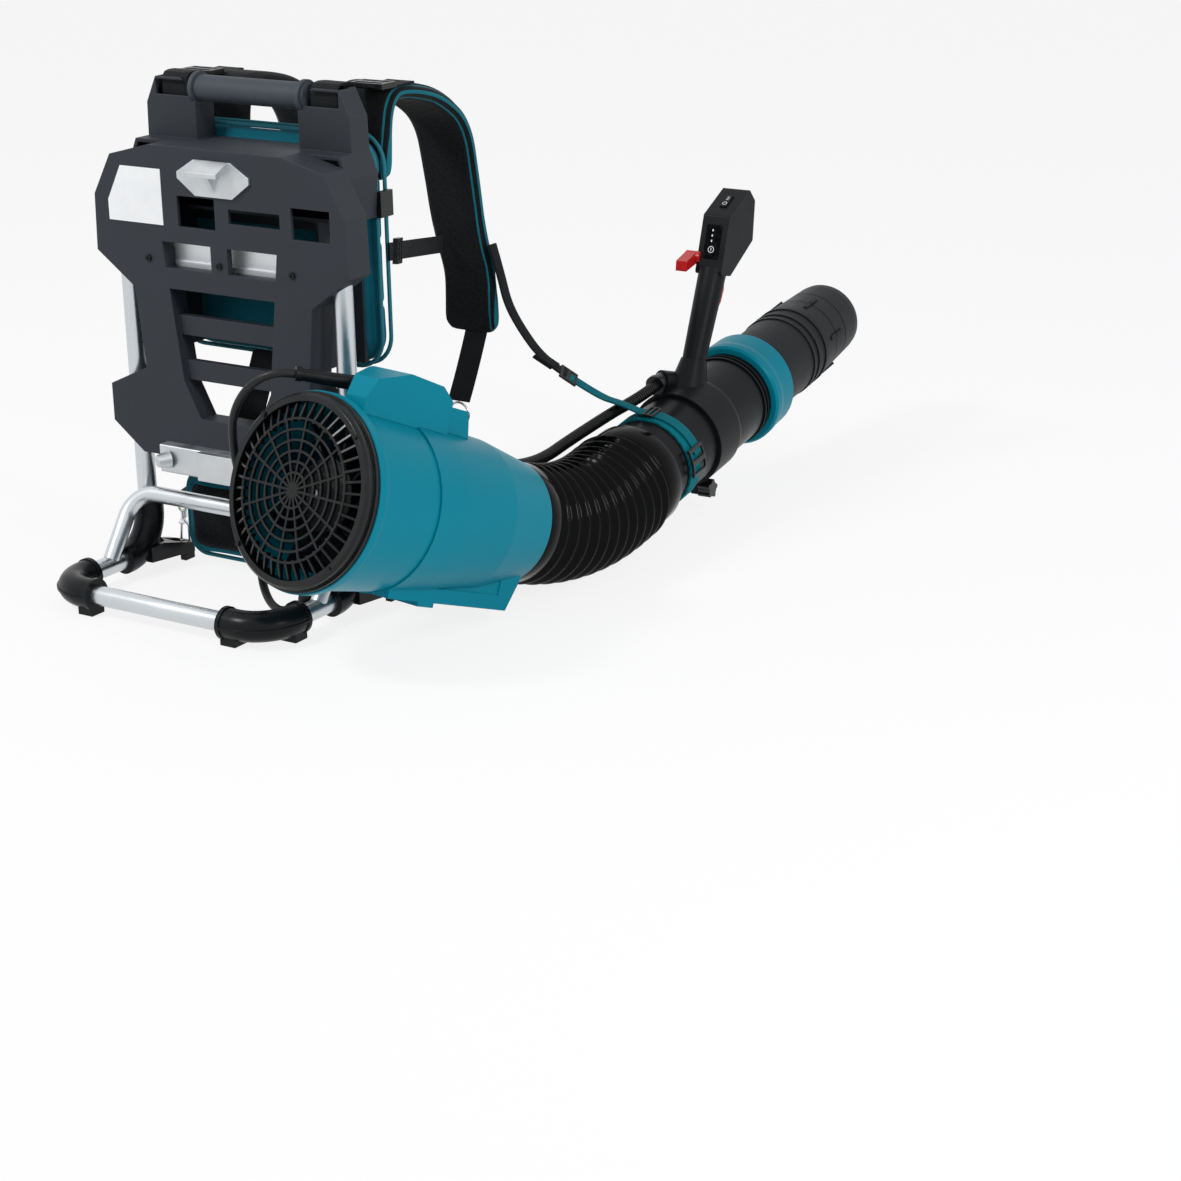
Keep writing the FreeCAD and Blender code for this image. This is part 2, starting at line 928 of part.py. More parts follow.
def lower_bracket():
    front = plate_front - bracket_depth
    low = bracket_centre - bracket_height / 2
    high = bracket_centre + bracket_height / 2
    bar = make_box(-bracket_half_width, bracket_half_width, front, plate_front, low, high)
    long_edges = [e for e in bar.Edges if abs(e.tangentAt(e.FirstParameter).x) > 0.99]
    front_edges = [e for e in long_edges if e.CenterOfMass.y < plate_front - 1]
    bar = bar.makeFillet(bracket_edge_radius, front_edges)
    block = make_box(-bracket_block_half, bracket_block_half, front - bracket_block_depth, front,
                     low, high)
    claws = []
    for side in (-1, 1):
        root = V(side * bracket_claw_place, front, bracket_centre)
        tip = root + V(side * bracket_claw_reach / 2, -bracket_claw_reach, 0)
        claws.append(cone(root, tip, bracket_claw_size / 2, bracket_claw_size / 3))
    return fused([bar, block] + claws)


def cross_rail():
    front = plate_front + rail_recess + ladder_wall
    centre = (window_bottom + ladder_top) / 2
    groove = make_box(-rail_half_length - 1, rail_half_length + 1, front - 1, front + rail_lip,
                      centre - rail_height / 4, centre + rail_height / 4)
    return rail_space(0.0).cut(groove)


# Towers and carry handle

def tower_outline():
    return mirrored([
        (tower_inner_half, tower_sill),
        (tower_inner_half, grip_height),
        (tower_top_inner, tower_top),
        (tower_top_half, tower_top),
        (tower_waist_half, tower_waist_height),
        (tower_sill_half, tower_sill),
        (tower_step_half, tower_step_height),
        (tower_base_half, tower_base),
    ])


def tower_shell(tube_cutter):
    back = plate_front + plate_depth
    base = mirrored([
        (tower_base_half, tower_base),
        (tower_step_half, tower_step_height),
        (tower_sill_half, tower_sill),
    ])
    block = slab(base, back, tower_back)
    cavity = widened(base, back - 1, tower_back - tower_wall, -tower_wall)
    towers = slab(tower_outline(), tower_front, tower_back)
    hollow = widened(tower_outline(), tower_front + tower_wall, tower_back - tower_wall, -tower_wall)
    body = block.fuse(towers).cut(cavity).cut(hollow)
    seat = rod(V(-tower_top_half, grip_setback, grip_height),
               V(tower_top_half, grip_setback, grip_height), grip_diameter / 2 + seat_gap)
    flanges = rod(V(-tower_inner_half - grip_flange_width, grip_setback, grip_height),
                  V(tower_inner_half + grip_flange_width, grip_setback, grip_height),
                  grip_flange_diameter / 2 + seat_gap)
    return body.cut(seat).cut(flanges).cut(tube_cutter).removeSplitter()


def carry_grip():
    end = tower_inner_half + tower_wall * 2
    left = V(-end, grip_setback, grip_height)
    right = V(end, grip_setback, grip_height)
    handle = rod(left, right, grip_diameter / 2)
    pieces = [handle]
    for side in (-1, 1):
        inner = V(side * tower_inner_half, grip_setback, grip_height)
        outer = V(side * (tower_inner_half + grip_flange_width), grip_setback, grip_height)
        pieces.append(rod(inner, outer, grip_flange_diameter / 2))
    return fused(pieces)


# Inner walls behind the plate

def pad_carrier():
    pieces = []
    back = plate_front + plate_depth
    for side in (-1, 1):
        inner = side * pad_wall_half
        outer = side * (pad_wall_half + pad_wall_thickness)
        flange = side * (pad_wall_half + pad_flange_width)
        low = min(inner, outer)
        high = max(inner, outer)
        pieces.append(make_box(low, high, back, tower_back, pad_wall_bottom, tower_base))
        pieces.append(make_box(low, high, plate_front + plate_skin, back,
                               pad_wall_bottom, pad_wall_notch))
        low = min(inner, flange)
        high = max(inner, flange)
        pieces.append(make_box(low, high, tower_back - pad_wall_thickness, tower_back,
                               pad_wall_bottom, tower_base))
    pieces.append(make_box(-pad_wall_half, pad_wall_half, tower_back - pad_wall_thickness,
                           tower_back, tower_base - pad_flange_width, tower_base))
    return fused(pieces)


# Soft goods

def cushion(x_half, z0, z1, y0, thickness, radius):
    middle = y0 + thickness / 2
    sections = []
    inset = pad_edge_inset
    for y, shrink in ((y0, inset), (middle, 0.0), (y0 + thickness, inset)):
        low = z0 + shrink
        high = z1 - shrink
        half = x_half - shrink
        corner = radius - shrink
        body = rounded_slab(-half, half, low, high, y, y + 1.0, corner)
        faces = [f for f in body.Faces if abs(f.normalAt(0, 0).y) > 0.99]
        first = min(faces, key=lambda f: f.CenterOfMass.y)
        sections.append(first.OuterWire)
    rear = Part.makeLoft(sections[:2], True, True)
    front = Part.makeLoft(sections[1:], True, True)
    return rear.fuse(front).removeSplitter()


def back_pad():
    start = tower_back + soft_gap
    pad = cushion(pad_half_width, pad_bottom, pad_top, start, pad_thickness, pad_corner_radius)
    front = start + pad_thickness
    channel = make_box(-pad_channel_half_width, pad_channel_half_width,
                       front - pad_channel_depth, front + 1, pad_bottom - 1, pad_top + 1)
    return pad.cut(channel)


def waist_belt():
    return cushion(belt_half_width, belt_bottom, belt_top, belt_back, belt_thickness,
                   belt_corner_radius)


def strap_points(x):
    face = tower_back + soft_gap + pad_thickness
    points = [V(x, face + strap_root_gap + strap_thickness / 2, strap_top_height - strap_root_drop)]
    for y, rise in strap_bends:
        points.append(V(x, y, strap_top_height + rise))
    points.append(V(x, strap_end_reach, strap_top_height - strap_end_drop))
    return points


def shoulder_strap():
    return ribbon(strap_points(strap_centre), strap_radii, strap_width, strap_thickness)


def anchor_rest():
    return strap_top_height + strap_thickness / 2 + webbing_thickness / 2 + soft_gap


def anchor_webbing():
    top = tower_top + webbing_thickness / 2 + seat_gap
    rest = anchor_rest()
    points = [
        V(buckle_spread, tower_front + 4, top),
        V(buckle_spread, tower_back + anchor_drop, top),
        V(buckle_spread, buckle_setback - buckle_length / 2, rest),
        V(buckle_spread, buckle_setback + tail_length, rest + tail_rise),
    ]
    return ribbon(points, [anchor_bend, anchor_bend], wide_webbing_width, webbing_thickness)


def top_buckle():
    height = anchor_rest() + tail_rise / 2 + webbing_thickness / 2 + soft_gap
    centre = V(buckle_spread, buckle_setback, height + buckle_thickness / 2)
    return ladder_buckle(centre, V(0, 1, 0), wide_webbing_width)


def strap_end():
    return strap_points(ring_place.x)[-1]


def hook_top():
    middle = loop_reach - loop_rim / 2
    height = hook_height + hook_neck_length + hook_eye_radius
    return V(half_spacing, middle, height)


def lower_webbing():
    start = strap_end() + V(0, -2, -soft_gap - webbing_thickness)
    ring_top = ring_place + V(0, 0, ring_diameter / 2 + soft_gap)
    ring_low = ring_place - V(0, 0, ring_diameter / 2 + ring_wire)
    eye = hook_top() + V(0, 0, hook_eye_radius + hook_wire)
    return [flat_strip(start, ring_top, webbing_width, webbing_thickness),
            flat_strip(ring_low, eye, narrow_webbing_width, webbing_thickness)]


def harness_ring():
    radius = ring_diameter / 2 - ring_wire / 2
    return Part.makeTorus(radius, ring_wire / 2, ring_place, Y_AXIS)


def belt_webbing():
    strips = []
    for side in (-1, 1):
        start = V(side * belt_strap_low, belt_back + belt_strap_lap, belt_top + buckle_margin)
        end = V(side * belt_strap_high, tower_back - belt_strap_lap, pad_bottom + belt_strap_lap)
        strips.append(flat_strip(start, end, wide_webbing_width, webbing_thickness))
    return strips


def ladder_buckle(centre, heading, width, roll=0.0):
    length = buckle_length
    half = width / 2 + buckle_margin
    tall = buckle_thickness / 2
    frame = make_box(-half, half, -length / 2, length / 2, -tall, tall)
    for y in (-length / 4, length / 4):
        slot = length / 8
        frame = frame.cut(make_box(-width / 2, width / 2, y - slot, y + slot,
                                   -buckle_thickness, buckle_thickness))
    turn = FreeCAD.Rotation(Y_AXIS, heading).multiply(FreeCAD.Rotation(Y_AXIS, roll))
    frame.Placement = FreeCAD.Placement(centre, turn)
    return frame


def hook_loop_back():
    return loop_reach + hook_gap + hook_wire / 2


def hook_loop_front():
    return loop_reach - loop_rim - hook_gap - hook_wire / 2


def snap_hook():
    top = hook_top()
    x = top.x
    eye = Part.makeTorus(hook_eye_radius, hook_wire / 2, top, X_AXIS)
    neck_top = V(x, top.y, hook_height + hook_neck_length)
    neck_low = V(x, top.y, hook_height)
    neck = rod(neck_low, neck_top, hook_neck_radius)
    back = hook_loop_back()
    front = hook_loop_front()
    low = loop_tip_bottom - hook_gap - hook_wire / 2
    points = [neck_low, V(x, top.y, hook_height - hook_shoulder_drop),
              V(x, back, hook_height - hook_bow_drop),
              V(x, back, low), V(x, front, low), V(x, front, loop_tip_top + hook_tip_rise)]
    path = route(points, hook_radii)
    lug_height = hook_height - hook_lug_drop
    lug = rod(V(x, top.y, lug_height), V(x, front + hook_lug_drop, lug_height), hook_wire / 2)
    return fused([eye, neck, round_sweep(path, hook_wire / 2), lug])


def hook_gate():
    x = half_spacing
    front = hook_loop_front()
    radius = gate_wire / 2
    root = V(x, front + hook_lug_drop,
             hook_height - hook_lug_drop - hook_wire / 2 - gate_gap - radius)
    tip = V(x, front, loop_tip_top + hook_tip_rise + gate_gap)
    hub = rod(root - X_AXIS * hook_wire, root + X_AXIS * hook_wire, radius)
    return rod(root, tip, radius).fuse(hub).removeSplitter()


# Blower housing in its own frame

def outer_profile(front_only, grow=0.0):
    points = [(joint_distance, joint_radius + joint_lip + grow)]
    points.append((shoulder_distance, joint_radius - 1.0 + grow))
    points.append((middle_distance, middle_radius + grow))
    points.append((outlet_distance, outlet_radius + grow))
    if front_only:
        return points
    rear = [
        (flange_start, flange_radius + grow),
        (flange_start + flange_width, flange_radius + grow),
        (flange_start + flange_width * 2, barrel_radius + grow),
        (joint_distance, joint_radius + grow),
    ]
    return rear + points


def housing_core(grow):
    outline = outer_profile(False, grow)
    return turned(outline + [(outlet_distance, 0), (flange_start, 0)])


def housing_rear():
    rear = outer_profile(False)[:4]
    wall = housing_wall
    inner = [(joint_distance, joint_radius - wall), (flange_start, barrel_radius - wall)]
    return turned(rear + inner)


def block_shape(inset):
    profile = [
        (block_start + inset, 0), (block_start + inset, -block_bottom + inset),
        (block_bottom_end - inset, -block_bottom + inset),
        (block_end - inset, -block_end_depth), (block_end - inset, 0),
    ]
    half = block_half_width - inset
    corners = [V(x, -half, z) for x, z in profile]
    return Part.Face(Part.makePolygon(corners + corners[:1])).extrude(V(0, half * 2, 0))


def housing_front():
    outline = outer_profile(True)
    inner = [(x, r - housing_wall) for x, r in reversed(outline)]
    shell = turned(outline + inner)
    core = turned([(joint_distance, 0)] + outline + [(outlet_distance, 0)])
    block = block_shape(0.0).cut(core)
    hollow = block_shape(block_wall).cut(core)
    bore = turned([(joint_distance - 1, 0), (joint_distance - 1, joint_radius - housing_wall)]
                  + [(x, r - housing_wall) for x, r in outline]
                  + [(outlet_distance, 0)])
    margin = block_panel_margin
    panel = make_box(block_start + margin * 2, block_bottom_end - margin,
                     -block_half_width - 1, -block_half_width + block_panel_depth,
                     -block_bottom + margin, -block_end_depth)
    nub = make_box(nub_place, nub_place + nub_length, -block_half_width, block_half_width,
                   -block_bottom - nub_height, -block_bottom + block_wall / 2)
    face = outlet_distance - boss_setback
    boss = rod(boss_point(face), boss_point(face - boss_length), boss_radius)
    body = shell.fuse([block, boss, nub]).cut(bore).cut(hollow).cut(panel)
    return body.removeSplitter()


def boss_point(distance):
    angle = math.radians(conduit_hose_angle)
    return V(distance, conduit_hose_offset * math.sin(angle),
             conduit_hose_offset * math.cos(angle))


def cover_shape(inset):
    low = joint_radius - 30
    profile = [
        (cover_start + inset, low),
        (cover_start + inset, cover_rear_height - inset),
        (cover_rear_top, cover_rear_peak - inset),
        (cover_peak, cover_height - inset),
        (cover_front_peak, cover_front_height - inset),
        (cover_end - inset, cover_end_height - inset),
        (cover_end - inset, low),
    ]
    right = -cover_right + inset
    left = cover_left - inset
    corners = [V(x, right, z) for x, z in profile]
    side = Part.Face(Part.makePolygon(corners + corners[:1])).extrude(V(0, left - right, 0))
    plan = [
        V(cover_start, right, low), V(cover_end, right, low), V(cover_end, left, low),
        V(cover_chamfer_end + inset, left, low), V(cover_start, -cover_chamfer_side - inset, low),
    ]
    tall = cover_height - low + 1
    return side.common(Part.Face(Part.makePolygon(plan + plan[:1])).extrude(V(0, 0, tall)))


def controller_cover():
    body = cover_shape(0.0).cut(cover_shape(cover_wall))
    low = joint_radius - 30
    second = [
        (cover_end, low), (cover_end, second_cover_height + 2),
        (second_cover_end, second_cover_height), (second_cover_foot, low),
    ]
    corners = [V(x, -second_cover_right, z) for x, z in second]
    rear_box = Part.Face(Part.makePolygon(corners + corners[:1])).extrude(
        V(0, second_cover_left + second_cover_right, 0))
    sleeve_hole = rod(sleeve_start, sleeve_end, sleeve_radius + seat_gap)
    body = body.fuse(rear_box).cut(housing_core(seat_gap)).cut(sleeve_hole)
    return body.removeSplitter()


def grille_ring():
    start = flange_start - rim_depth - seat_gap
    end = flange_start - seat_gap
    inner = rim_radius - rim_wall
    band = rim_radius + grille_band_thickness
    return turned([
        (start, inner), (start, rim_radius - grille_rim_round),
        (start + grille_rim_round, rim_radius), (end - grille_band_width, rim_radius),
        (end - grille_band_width, band), (end, band), (end, inner),
    ])


def intake_grille():
    wire = grille_wire
    thick = wire * 1.4
    front = flange_start - rim_depth - seat_gap
    disc = front - grille_disc_lift
    pieces = [turned([(disc, 0), (disc, grille_hub_radius), (disc + thick, grille_hub_radius),
                      (disc + thick, 0)])]
    for k in range(1, grille_rings + 1):
        radius = grille_hub_radius + (grille_disc_radius - grille_hub_radius) * k / grille_rings
        pieces.append(washer(disc, disc + thick, radius + wire / 2, radius - wire / 2))
    spoke = make_box(disc, disc + thick, -wire / 2, wire / 2, 0, grille_disc_radius)
    pieces += around(spoke, grille_spokes)
    outer = rim_radius - rim_wall - seat_gap
    corners = [V(disc, -wire / 2, grille_disc_radius - wire), V(disc, -wire / 2, grille_disc_radius),
               V(front + wire, -wire / 2, outer), V(front + wire + thick, -wire / 2, outer),
               V(disc + thick * 2, -wire / 2, grille_disc_radius - wire)]
    rib = Part.Face(Part.makePolygon(corners + corners[:1])).extrude(V(0, wire, 0))
    pieces += around(rib, grille_side_ribs)
    return fused(pieces)


def grille_screws():
    face = flange_start - rim_depth - seat_gap
    height = grille_screw_radius + grille_screw_setback
    head = rod(V(face - grille_screw_height, 0, height), V(face - seat_gap, 0, height),
               grille_screw_diameter / 2)
    return group(around(head, 4, X_AXIS, 45.0))


def fan_rotor():
    tip = joint_radius - housing_wall - fan_tip_gap
    end = fan_start + fan_width
    hub = turned([(fan_start - 8, 0.0), (fan_start - 8, hub_radius * 0.5), (fan_start, hub_radius),
                  (end, hub_radius), (end, 0.0)])
    blades = []
    for k in range(fan_blades):
        blade = make_box(0, fan_width, -blade_thickness / 2, blade_thickness / 2,
                         hub_radius - 3, tip)
        blade.translate(V(-fan_width / 2, 0, 0))
        blade.rotate(V(0, 0, 0), Z_AXIS, blade_twist)
        blade.translate(V(fan_start + fan_width / 2, 0, 0))
        blade.rotate(V(0, 0, 0), X_AXIS, 360.0 * k / fan_blades)
        blades.append(blade)
    rotor = hub.fuse(blades)
    cage = turned([(fan_start - 12, 0), (fan_start - 12, tip), (end + 4, tip), (end + 4, 0)])
    bore = rod(V(fan_start - 20, 0, 0), V(end + 4, 0, 0), shaft_diameter / 2 + seat_gap)
    return rotor.common(cage).cut(bore)


def motor_shaft():
    return rod(V(fan_start - 14, 0, 0), V(motor_start + motor_length - 6, 0, 0), shaft_diameter / 2)


def motor_can():
    end = motor_start + motor_length
    can = turned([(motor_start, 0), (motor_start, motor_radius - 4), (motor_start + 4, motor_radius),
                  (end, motor_radius), (end + 24, motor_radius * 0.4), (end + 24, 0)])
    bore = rod(V(motor_start - 1, 0, 0), V(end, 0, 0), shaft_diameter / 2 + seat_gap)
    return can.cut(bore)


def stator_vanes():
    ring_outer = motor_radius + 4
    end = vane_start + vane_length
    ring = washer(vane_start, end, ring_outer, motor_radius + seat_gap)
    vane = make_box(vane_start, end, -vane_thickness / 2, vane_thickness / 2, ring_outer - 1,
                    joint_radius + 4)
    core = [(x, r - housing_wall - seat_gap) for x, r in outer_profile(True)]
    space = turned([(joint_distance, 0)] + core + [(outlet_distance, 0)])
    return ring.fuse(around(vane, vane_count)).common(space).removeSplitter()


def sleeve_direction():
    return (sleeve_end - sleeve_start).normalize()


def strain_relief():
    sleeve = cone(sleeve_start, sleeve_end, sleeve_radius, sleeve_tip_radius)
    along = sleeve_direction()
    collar = rod(sleeve_end - along * sleeve_collar_length, sleeve_end,
                 sleeve_tip_radius + sleeve_collar_lip)
    bore = rod(sleeve_end - along * (sleeve_grip + running_gap), sleeve_end + along,
               cord_diameter / 2 + running_gap)
    return sleeve.fuse(collar).cut(bore).removeSplitter()


# Mounting bracket and dampers

def blower_bracket(tube_cutter, arch_cutter):
    inner = half_spacing + tube_radius + mount_plate_gap
    outer = inner + mount_plate_thickness
    corners = [
        (mount_plate_rear, mount_plate_bottom), (mount_plate_front, mount_plate_bottom),
        (mount_plate_front, mount_plate_top - 16), (mount_plate_front - 16, mount_plate_top),
        (mount_plate_rear + 24, mount_plate_top), (mount_plate_rear, mount_plate_top - 24),
    ]
    plate = side_slab(corners, inner, outer)
    collar_radius = tube_radius + collar_wall
    collar = rod(V(half_spacing, 0, collar_bottom), V(half_spacing, 0, mount_plate_top),
                 collar_radius)
    arm = make_box(half_spacing, inner, -tube_radius, tube_radius, collar_bottom, mount_plate_top)
    return fused([plate, collar, arm]).cut(tube_cutter).cut(arch_cutter)


def dampers(housing_cutter):
    start = half_spacing + tube_radius + mount_plate_gap + mount_plate_thickness
    pieces = []
    for y, z in damper_places:
        stud = rod(V(start, y, z), V(start + 60, y, z), damper_radius)
        trimmed = stud.cut(housing_cutter)
        nearest = min(trimmed.Solids, key=lambda s: s.CenterOfMass.x)
        pieces.append(nearest)
    return group(pieces)


# Bellows between the blower and the pipe

def hose_stations():
    into = blower_frame.multVec(V(1, 0, 0)) - blower_frame.multVec(V(0, 0, 0))
    out = pipe_frame.multVec(V(1, 0, 0)) - pipe_frame.multVec(V(0, 0, 0))
    turn = into.getAngle(out)
    radius = bend_tangent / math.tan(turn / 2)
    across = into.cross(out).normalize()
    inward = across.cross(into).normalize()
    outlet = blower_frame.multVec(V(outlet_distance, 0, 0))
    arc_start = bend_point - into * bend_tangent
    arc_end = bend_point + out * bend_tangent
    centre = arc_start + inward * radius
    first = (arc_start - outlet).Length
    arc = radius * turn
    total = first + arc + hose_end - bend_tangent

    def station(distance):
        if distance <= first:
            return outlet + into * distance, into
        if distance >= first + arc:
            return arc_end + out * (distance - first - arc), out
        angle = (distance - first) / radius
        spot = centre - inward * (radius * math.cos(angle)) + into * (radius * math.sin(angle))
        heading = into * math.cos(angle) + inward * math.sin(angle)
        return spot, heading

    return station, total, across


def hose_loft(rings, across):
    wires = []
    for spot, heading, radius in rings:
        circle = Part.Circle(spot, heading, radius)
        circle.XAxis = across
        wires.append(Part.Wire([circle.toShape()]))
    return Part.makeLoft(wires, True, True)


def bellows():
    station, total, across = hose_stations()
    start = hose_cuff_length
    end = total - hose_end_cuff
    pitch = (end - start) / hose_ribs
    begin = running_gap
    profile = [(begin, hose_valley_radius + 5), (start, hose_valley_radius + 4)]
    for k in range(hose_ribs):
        base = start + k * pitch
        profile.append((base + pitch * 0.12, hose_valley_radius))
        profile.append((base + pitch * 0.36, hose_crest_radius))
        profile.append((base + pitch * 0.64, hose_crest_radius))
        profile.append((base + pitch * 0.88, hose_valley_radius))
    profile.append((end, hose_valley_radius + 2))
    profile.append((total, hose_valley_radius + 2))
    outer = []
    inner = []
    for distance, radius in profile:
        spot, heading = station(distance)
        outer.append((spot, heading, radius))
        inner.append((spot, heading, radius - hose_bore_wall))
    first_spot, first_heading = station(begin)
    last_spot, last_heading = station(total)
    cuff_bore = pipe_radius + running_gap
    inner[-1] = (last_spot, last_heading, cuff_bore)
    inner[-2] = (inner[-2][0], inner[-2][1], cuff_bore)
    inner.append((last_spot + last_heading, last_heading, cuff_bore))
    inner.insert(0, (first_spot - first_heading, first_heading, inner[0][2]))
    return hose_loft(outer, across).cut(hose_loft(inner, across))


def bellows_hoop():
    station, total = hose_stations()[:2]
    spot, heading = station(total / 2)
    radius = hose_valley_radius - hose_bore_wall - hoop_wire / 2 - running_gap
    return Part.makeTorus(radius, hoop_wire / 2, spot, heading)


# Pipe, ring and nozzle in the pipe's frame

def swivel_pipe():
    end = ring_start + ring_length - ring_lip - running_gap
    body = washer(pipe_start, end, pipe_radius, pipe_radius - pipe_wall)
    beads = []
    for place in pipe_bead_places:
        beads.append(washer(place, place + 3.0, pipe_radius + 2.2, pipe_radius - 0.5))
    return fused([body] + beads)


def lock_ring():
    start = ring_start
    end = ring_start + ring_length
    inner = pipe_radius + running_gap
    lip = nozzle_radius + running_gap
    outer = ring_radius
    profile = [
        (start, inner), (start, outer - 2.5), (start + 3, outer),
        (start + ring_land, outer), (start + ring_land + 8, outer - 1.2),
        (end - 3, outer - 2.0), (end, outer - 5.0), (end, lip), (end - ring_lip, lip),
        (end - ring_lip, inner),
    ]
    ring = turned(profile)
    cutter = rod(V(start + ring_land + 8, 0, outer + 1.2), V(end - 4, 0, outer + 1.2), 2.6)
    return ring.cut(around(cutter, ring_turn_ribs))


def nozzle_outer(distance):
    share = (distance - nozzle_taper_start) / (nozzle_end - nozzle_tip_round - nozzle_taper_start)
    return nozzle_radius + (nozzle_tip_radius - nozzle_radius) * max(share, 0.0)


def nozzle():
    start = ring_start + ring_length - nozzle_insert
    wall = nozzle_wall
    tip = nozzle_end - nozzle_tip_round
    spigot = nozzle_end - nozzle_spigot_length
    outline = [
        (start, nozzle_radius - wall), (start, nozzle_radius),
        (nozzle_taper_start, nozzle_radius), (tip, nozzle_tip_radius),
        (nozzle_end - nozzle_tip_round / 3, nozzle_tip_radius - 1.2),
        (nozzle_end, nozzle_spigot_radius), (spigot, nozzle_spigot_radius),
        (nozzle_taper_start, nozzle_radius - wall),
    ]
    pieces = [turned(outline)]
    for place in nozzle_bead_places:
        pieces.append(washer(place, place + nozzle_bead_width, nozzle_radius + nozzle_bead,
                             nozzle_radius - 0.5))
    half = nozzle_bar_width / 2
    middle = nozzle_outer(nozzle_bar_place + nozzle_bar_length / 2)
    bar = make_box(nozzle_bar_place, nozzle_bar_place + nozzle_bar_length, -half, half,
                   middle - nozzle_wall / 2, middle + nozzle_bead * 1.4)
    pieces += around(bar, nozzle_bars, X_AXIS, 18.0)
    body = fused(pieces)
    for place in nozzle_groove_places:
        radius = nozzle_outer(place)
        body = body.cut(washer(place, place + 1.5, radius + 5, radius - nozzle_groove))
    return body


# Control handle

def pipe_saddle():
    inner = pipe_radius + running_gap
    start = collar_start
    end = collar_start + collar_length
    outer = inner + collar_thickness
    sleeve = turned([(start, inner), (start, outer), (end - collar_taper, outer),
                     (end, inner + collar_taper_drop), (end, inner)])
    middle = collar_middle()
    lug = make_box(middle - lug_length / 2, middle + lug_length / 2, -lug_half_width,
                   lug_half_width, -outer - lug_drop - lug_length / 2, -inner - 1)
    bore = rod(V(start - 1, 0, 0), V(end + 1, 0, 0), inner)
    hole = rod(V(middle, 20, -outer - lug_drop), V(middle, -20, -outer - lug_drop),
               knob_shank_radius + running_gap)
    slit = make_box(start - 1, end + 1, -1.0, 1.0, -outer - lug_drop - lug_length, -inner + 2)
    return placed(sleeve.fuse(lug.cut(bore)).cut(hole).cut(slit), pipe_frame)


def gland_point(distance):
    return V(distance, gland_side, gland_height)


def collar_middle():
    return collar_start + collar_length / 2


def handle_collar():
    saddle = pipe_saddle()
    along = (grip_bottom - grip_top).normalize()
    root = grip_bottom + along * neck_length
    neck = cone(root, grip_bottom, neck_radius, grip_bottom_radius + neck_gap)
    bore = placed(rod(V(collar_start - 60, 0, 0), V(collar_start + 120, 0, 0),
                      pipe_radius + running_gap), pipe_frame)
    seat = collar_middle() - gland_length / 2
    boss = placed(cone(gland_point(seat), gland_point(seat + gland_boss_length) + gland_boss_lean,
                       gland_radius + gland_wall, gland_radius), pipe_frame)
    hole = rod(gland_point(seat - gland_length), gland_point(seat + gland_length / 2 + seat_gap),
               gland_radius + seat_gap)
    nut_room = rod(gland_point(seat - gland_length * 2),
                   gland_point(seat - gland_length / 2 + seat_gap), gland_radius + 2 + seat_gap)
    hole = placed(hole.fuse(nut_room), pipe_frame)
    return fused([saddle, neck, boss]).cut(bore).cut(hole)


def head_profile():
    points = [head_rear_bottom, head_rear_top, head_crown, head_front_top, head_front_bottom,
              head_throat]
    return points


def control_handle():
    grip = cone(grip_bottom, grip_top + (grip_top - grip_bottom).normalize() * 8,
                grip_bottom_radius, grip_top_radius)
    head = side_slab(head_profile(), grip_top.x - head_half_width, grip_top.x + head_half_width)
    along_x = [e for e in head.Edges if abs(e.tangentAt(e.FirstParameter).x) > 0.99]
    head = head.makeFillet(head_corner_radius, along_x)
    body = grip.fuse(head).removeSplitter()
    cuts = [trigger_pocket(), lever_pocket(), button_pocket(), top_button_pocket()]
    return body.cut(cuts[0].fuse(cuts[1:]))


def grip_direction():
    return (grip_top - grip_bottom).normalize()


def grip_front():
    along = grip_direction()
    return V(0, along.z, -along.y)


def trigger_point(down, forward):
    return grip_top - grip_direction() * down + grip_front() * forward


def trigger_pivot():
    return trigger_point(4.0, trigger_root + 3.0)


def trigger_face(x):
    reach = trigger_reach
    length = trigger_length
    spots = [(2.0, trigger_root), (2.0, reach - 3), (10.0, reach), (length - 8, reach - 1),
             (length, reach - 5), (length, trigger_root)]
    corners = []
    for down, forward in spots:
        point = trigger_point(down, forward)
        corners.append(V(x, point.y, point.z))
    return Part.Face(Part.makePolygon(corners + corners[:1]))


def trigger():
    half = trigger_width / 2
    body = trigger_face(grip_top.x - half).extrude(V(trigger_width, 0, 0))
    return body.fuse(trigger_pin(0.0)).removeSplitter()


def trigger_pin(grow):
    pivot = trigger_pivot()
    half = trigger_width / 2 + trigger_pin_length + grow
    return rod(pivot - X_AXIS * half, pivot + X_AXIS * half, trigger_pin_radius + grow)


def trigger_pocket():
    half = trigger_width / 2 + trigger_slot_gap
    swept = trigger_face(grip_top.x - half).makeOffset2D(trigger_slot_gap, 2)
    swept = swept.extrude(V(half * 2, 0, 0))
    pocket = swept
    for share in (0.35, 0.7, 1.1):
        turned_shape = swept.copy()
        turned_shape.rotate(trigger_pivot(), X_AXIS, -trigger_angle * share)
        pocket = pocket.fuse(turned_shape)
    return pocket.fuse(trigger_pin(seat_gap))


def lever_axis_point():
    return V(grip_top.x - head_half_width, lever_place[0], lever_place[1])


def cruise_lever():
    point = lever_axis_point()
    hub = rod(point + V(lever_root, 0, 0), point - V(lever_width, 0, 0), lever_radius)
    tip = point.y - lever_length
    arm = side_slab([(point.y, point.z + lever_radius), (tip, point.z - 1),
                     (tip - 2, point.z - lever_drop - lever_thickness),
                     (point.y, point.z - lever_radius)],
                    point.x - lever_width, point.x - soft_gap * 3)
    return hub.fuse(arm).removeSplitter()


def lever_pocket():
    point = lever_axis_point()
    return rod(point + V(lever_root + running_gap, 0, 0), point - V(2, 0, 0),
               lever_radius + running_gap)


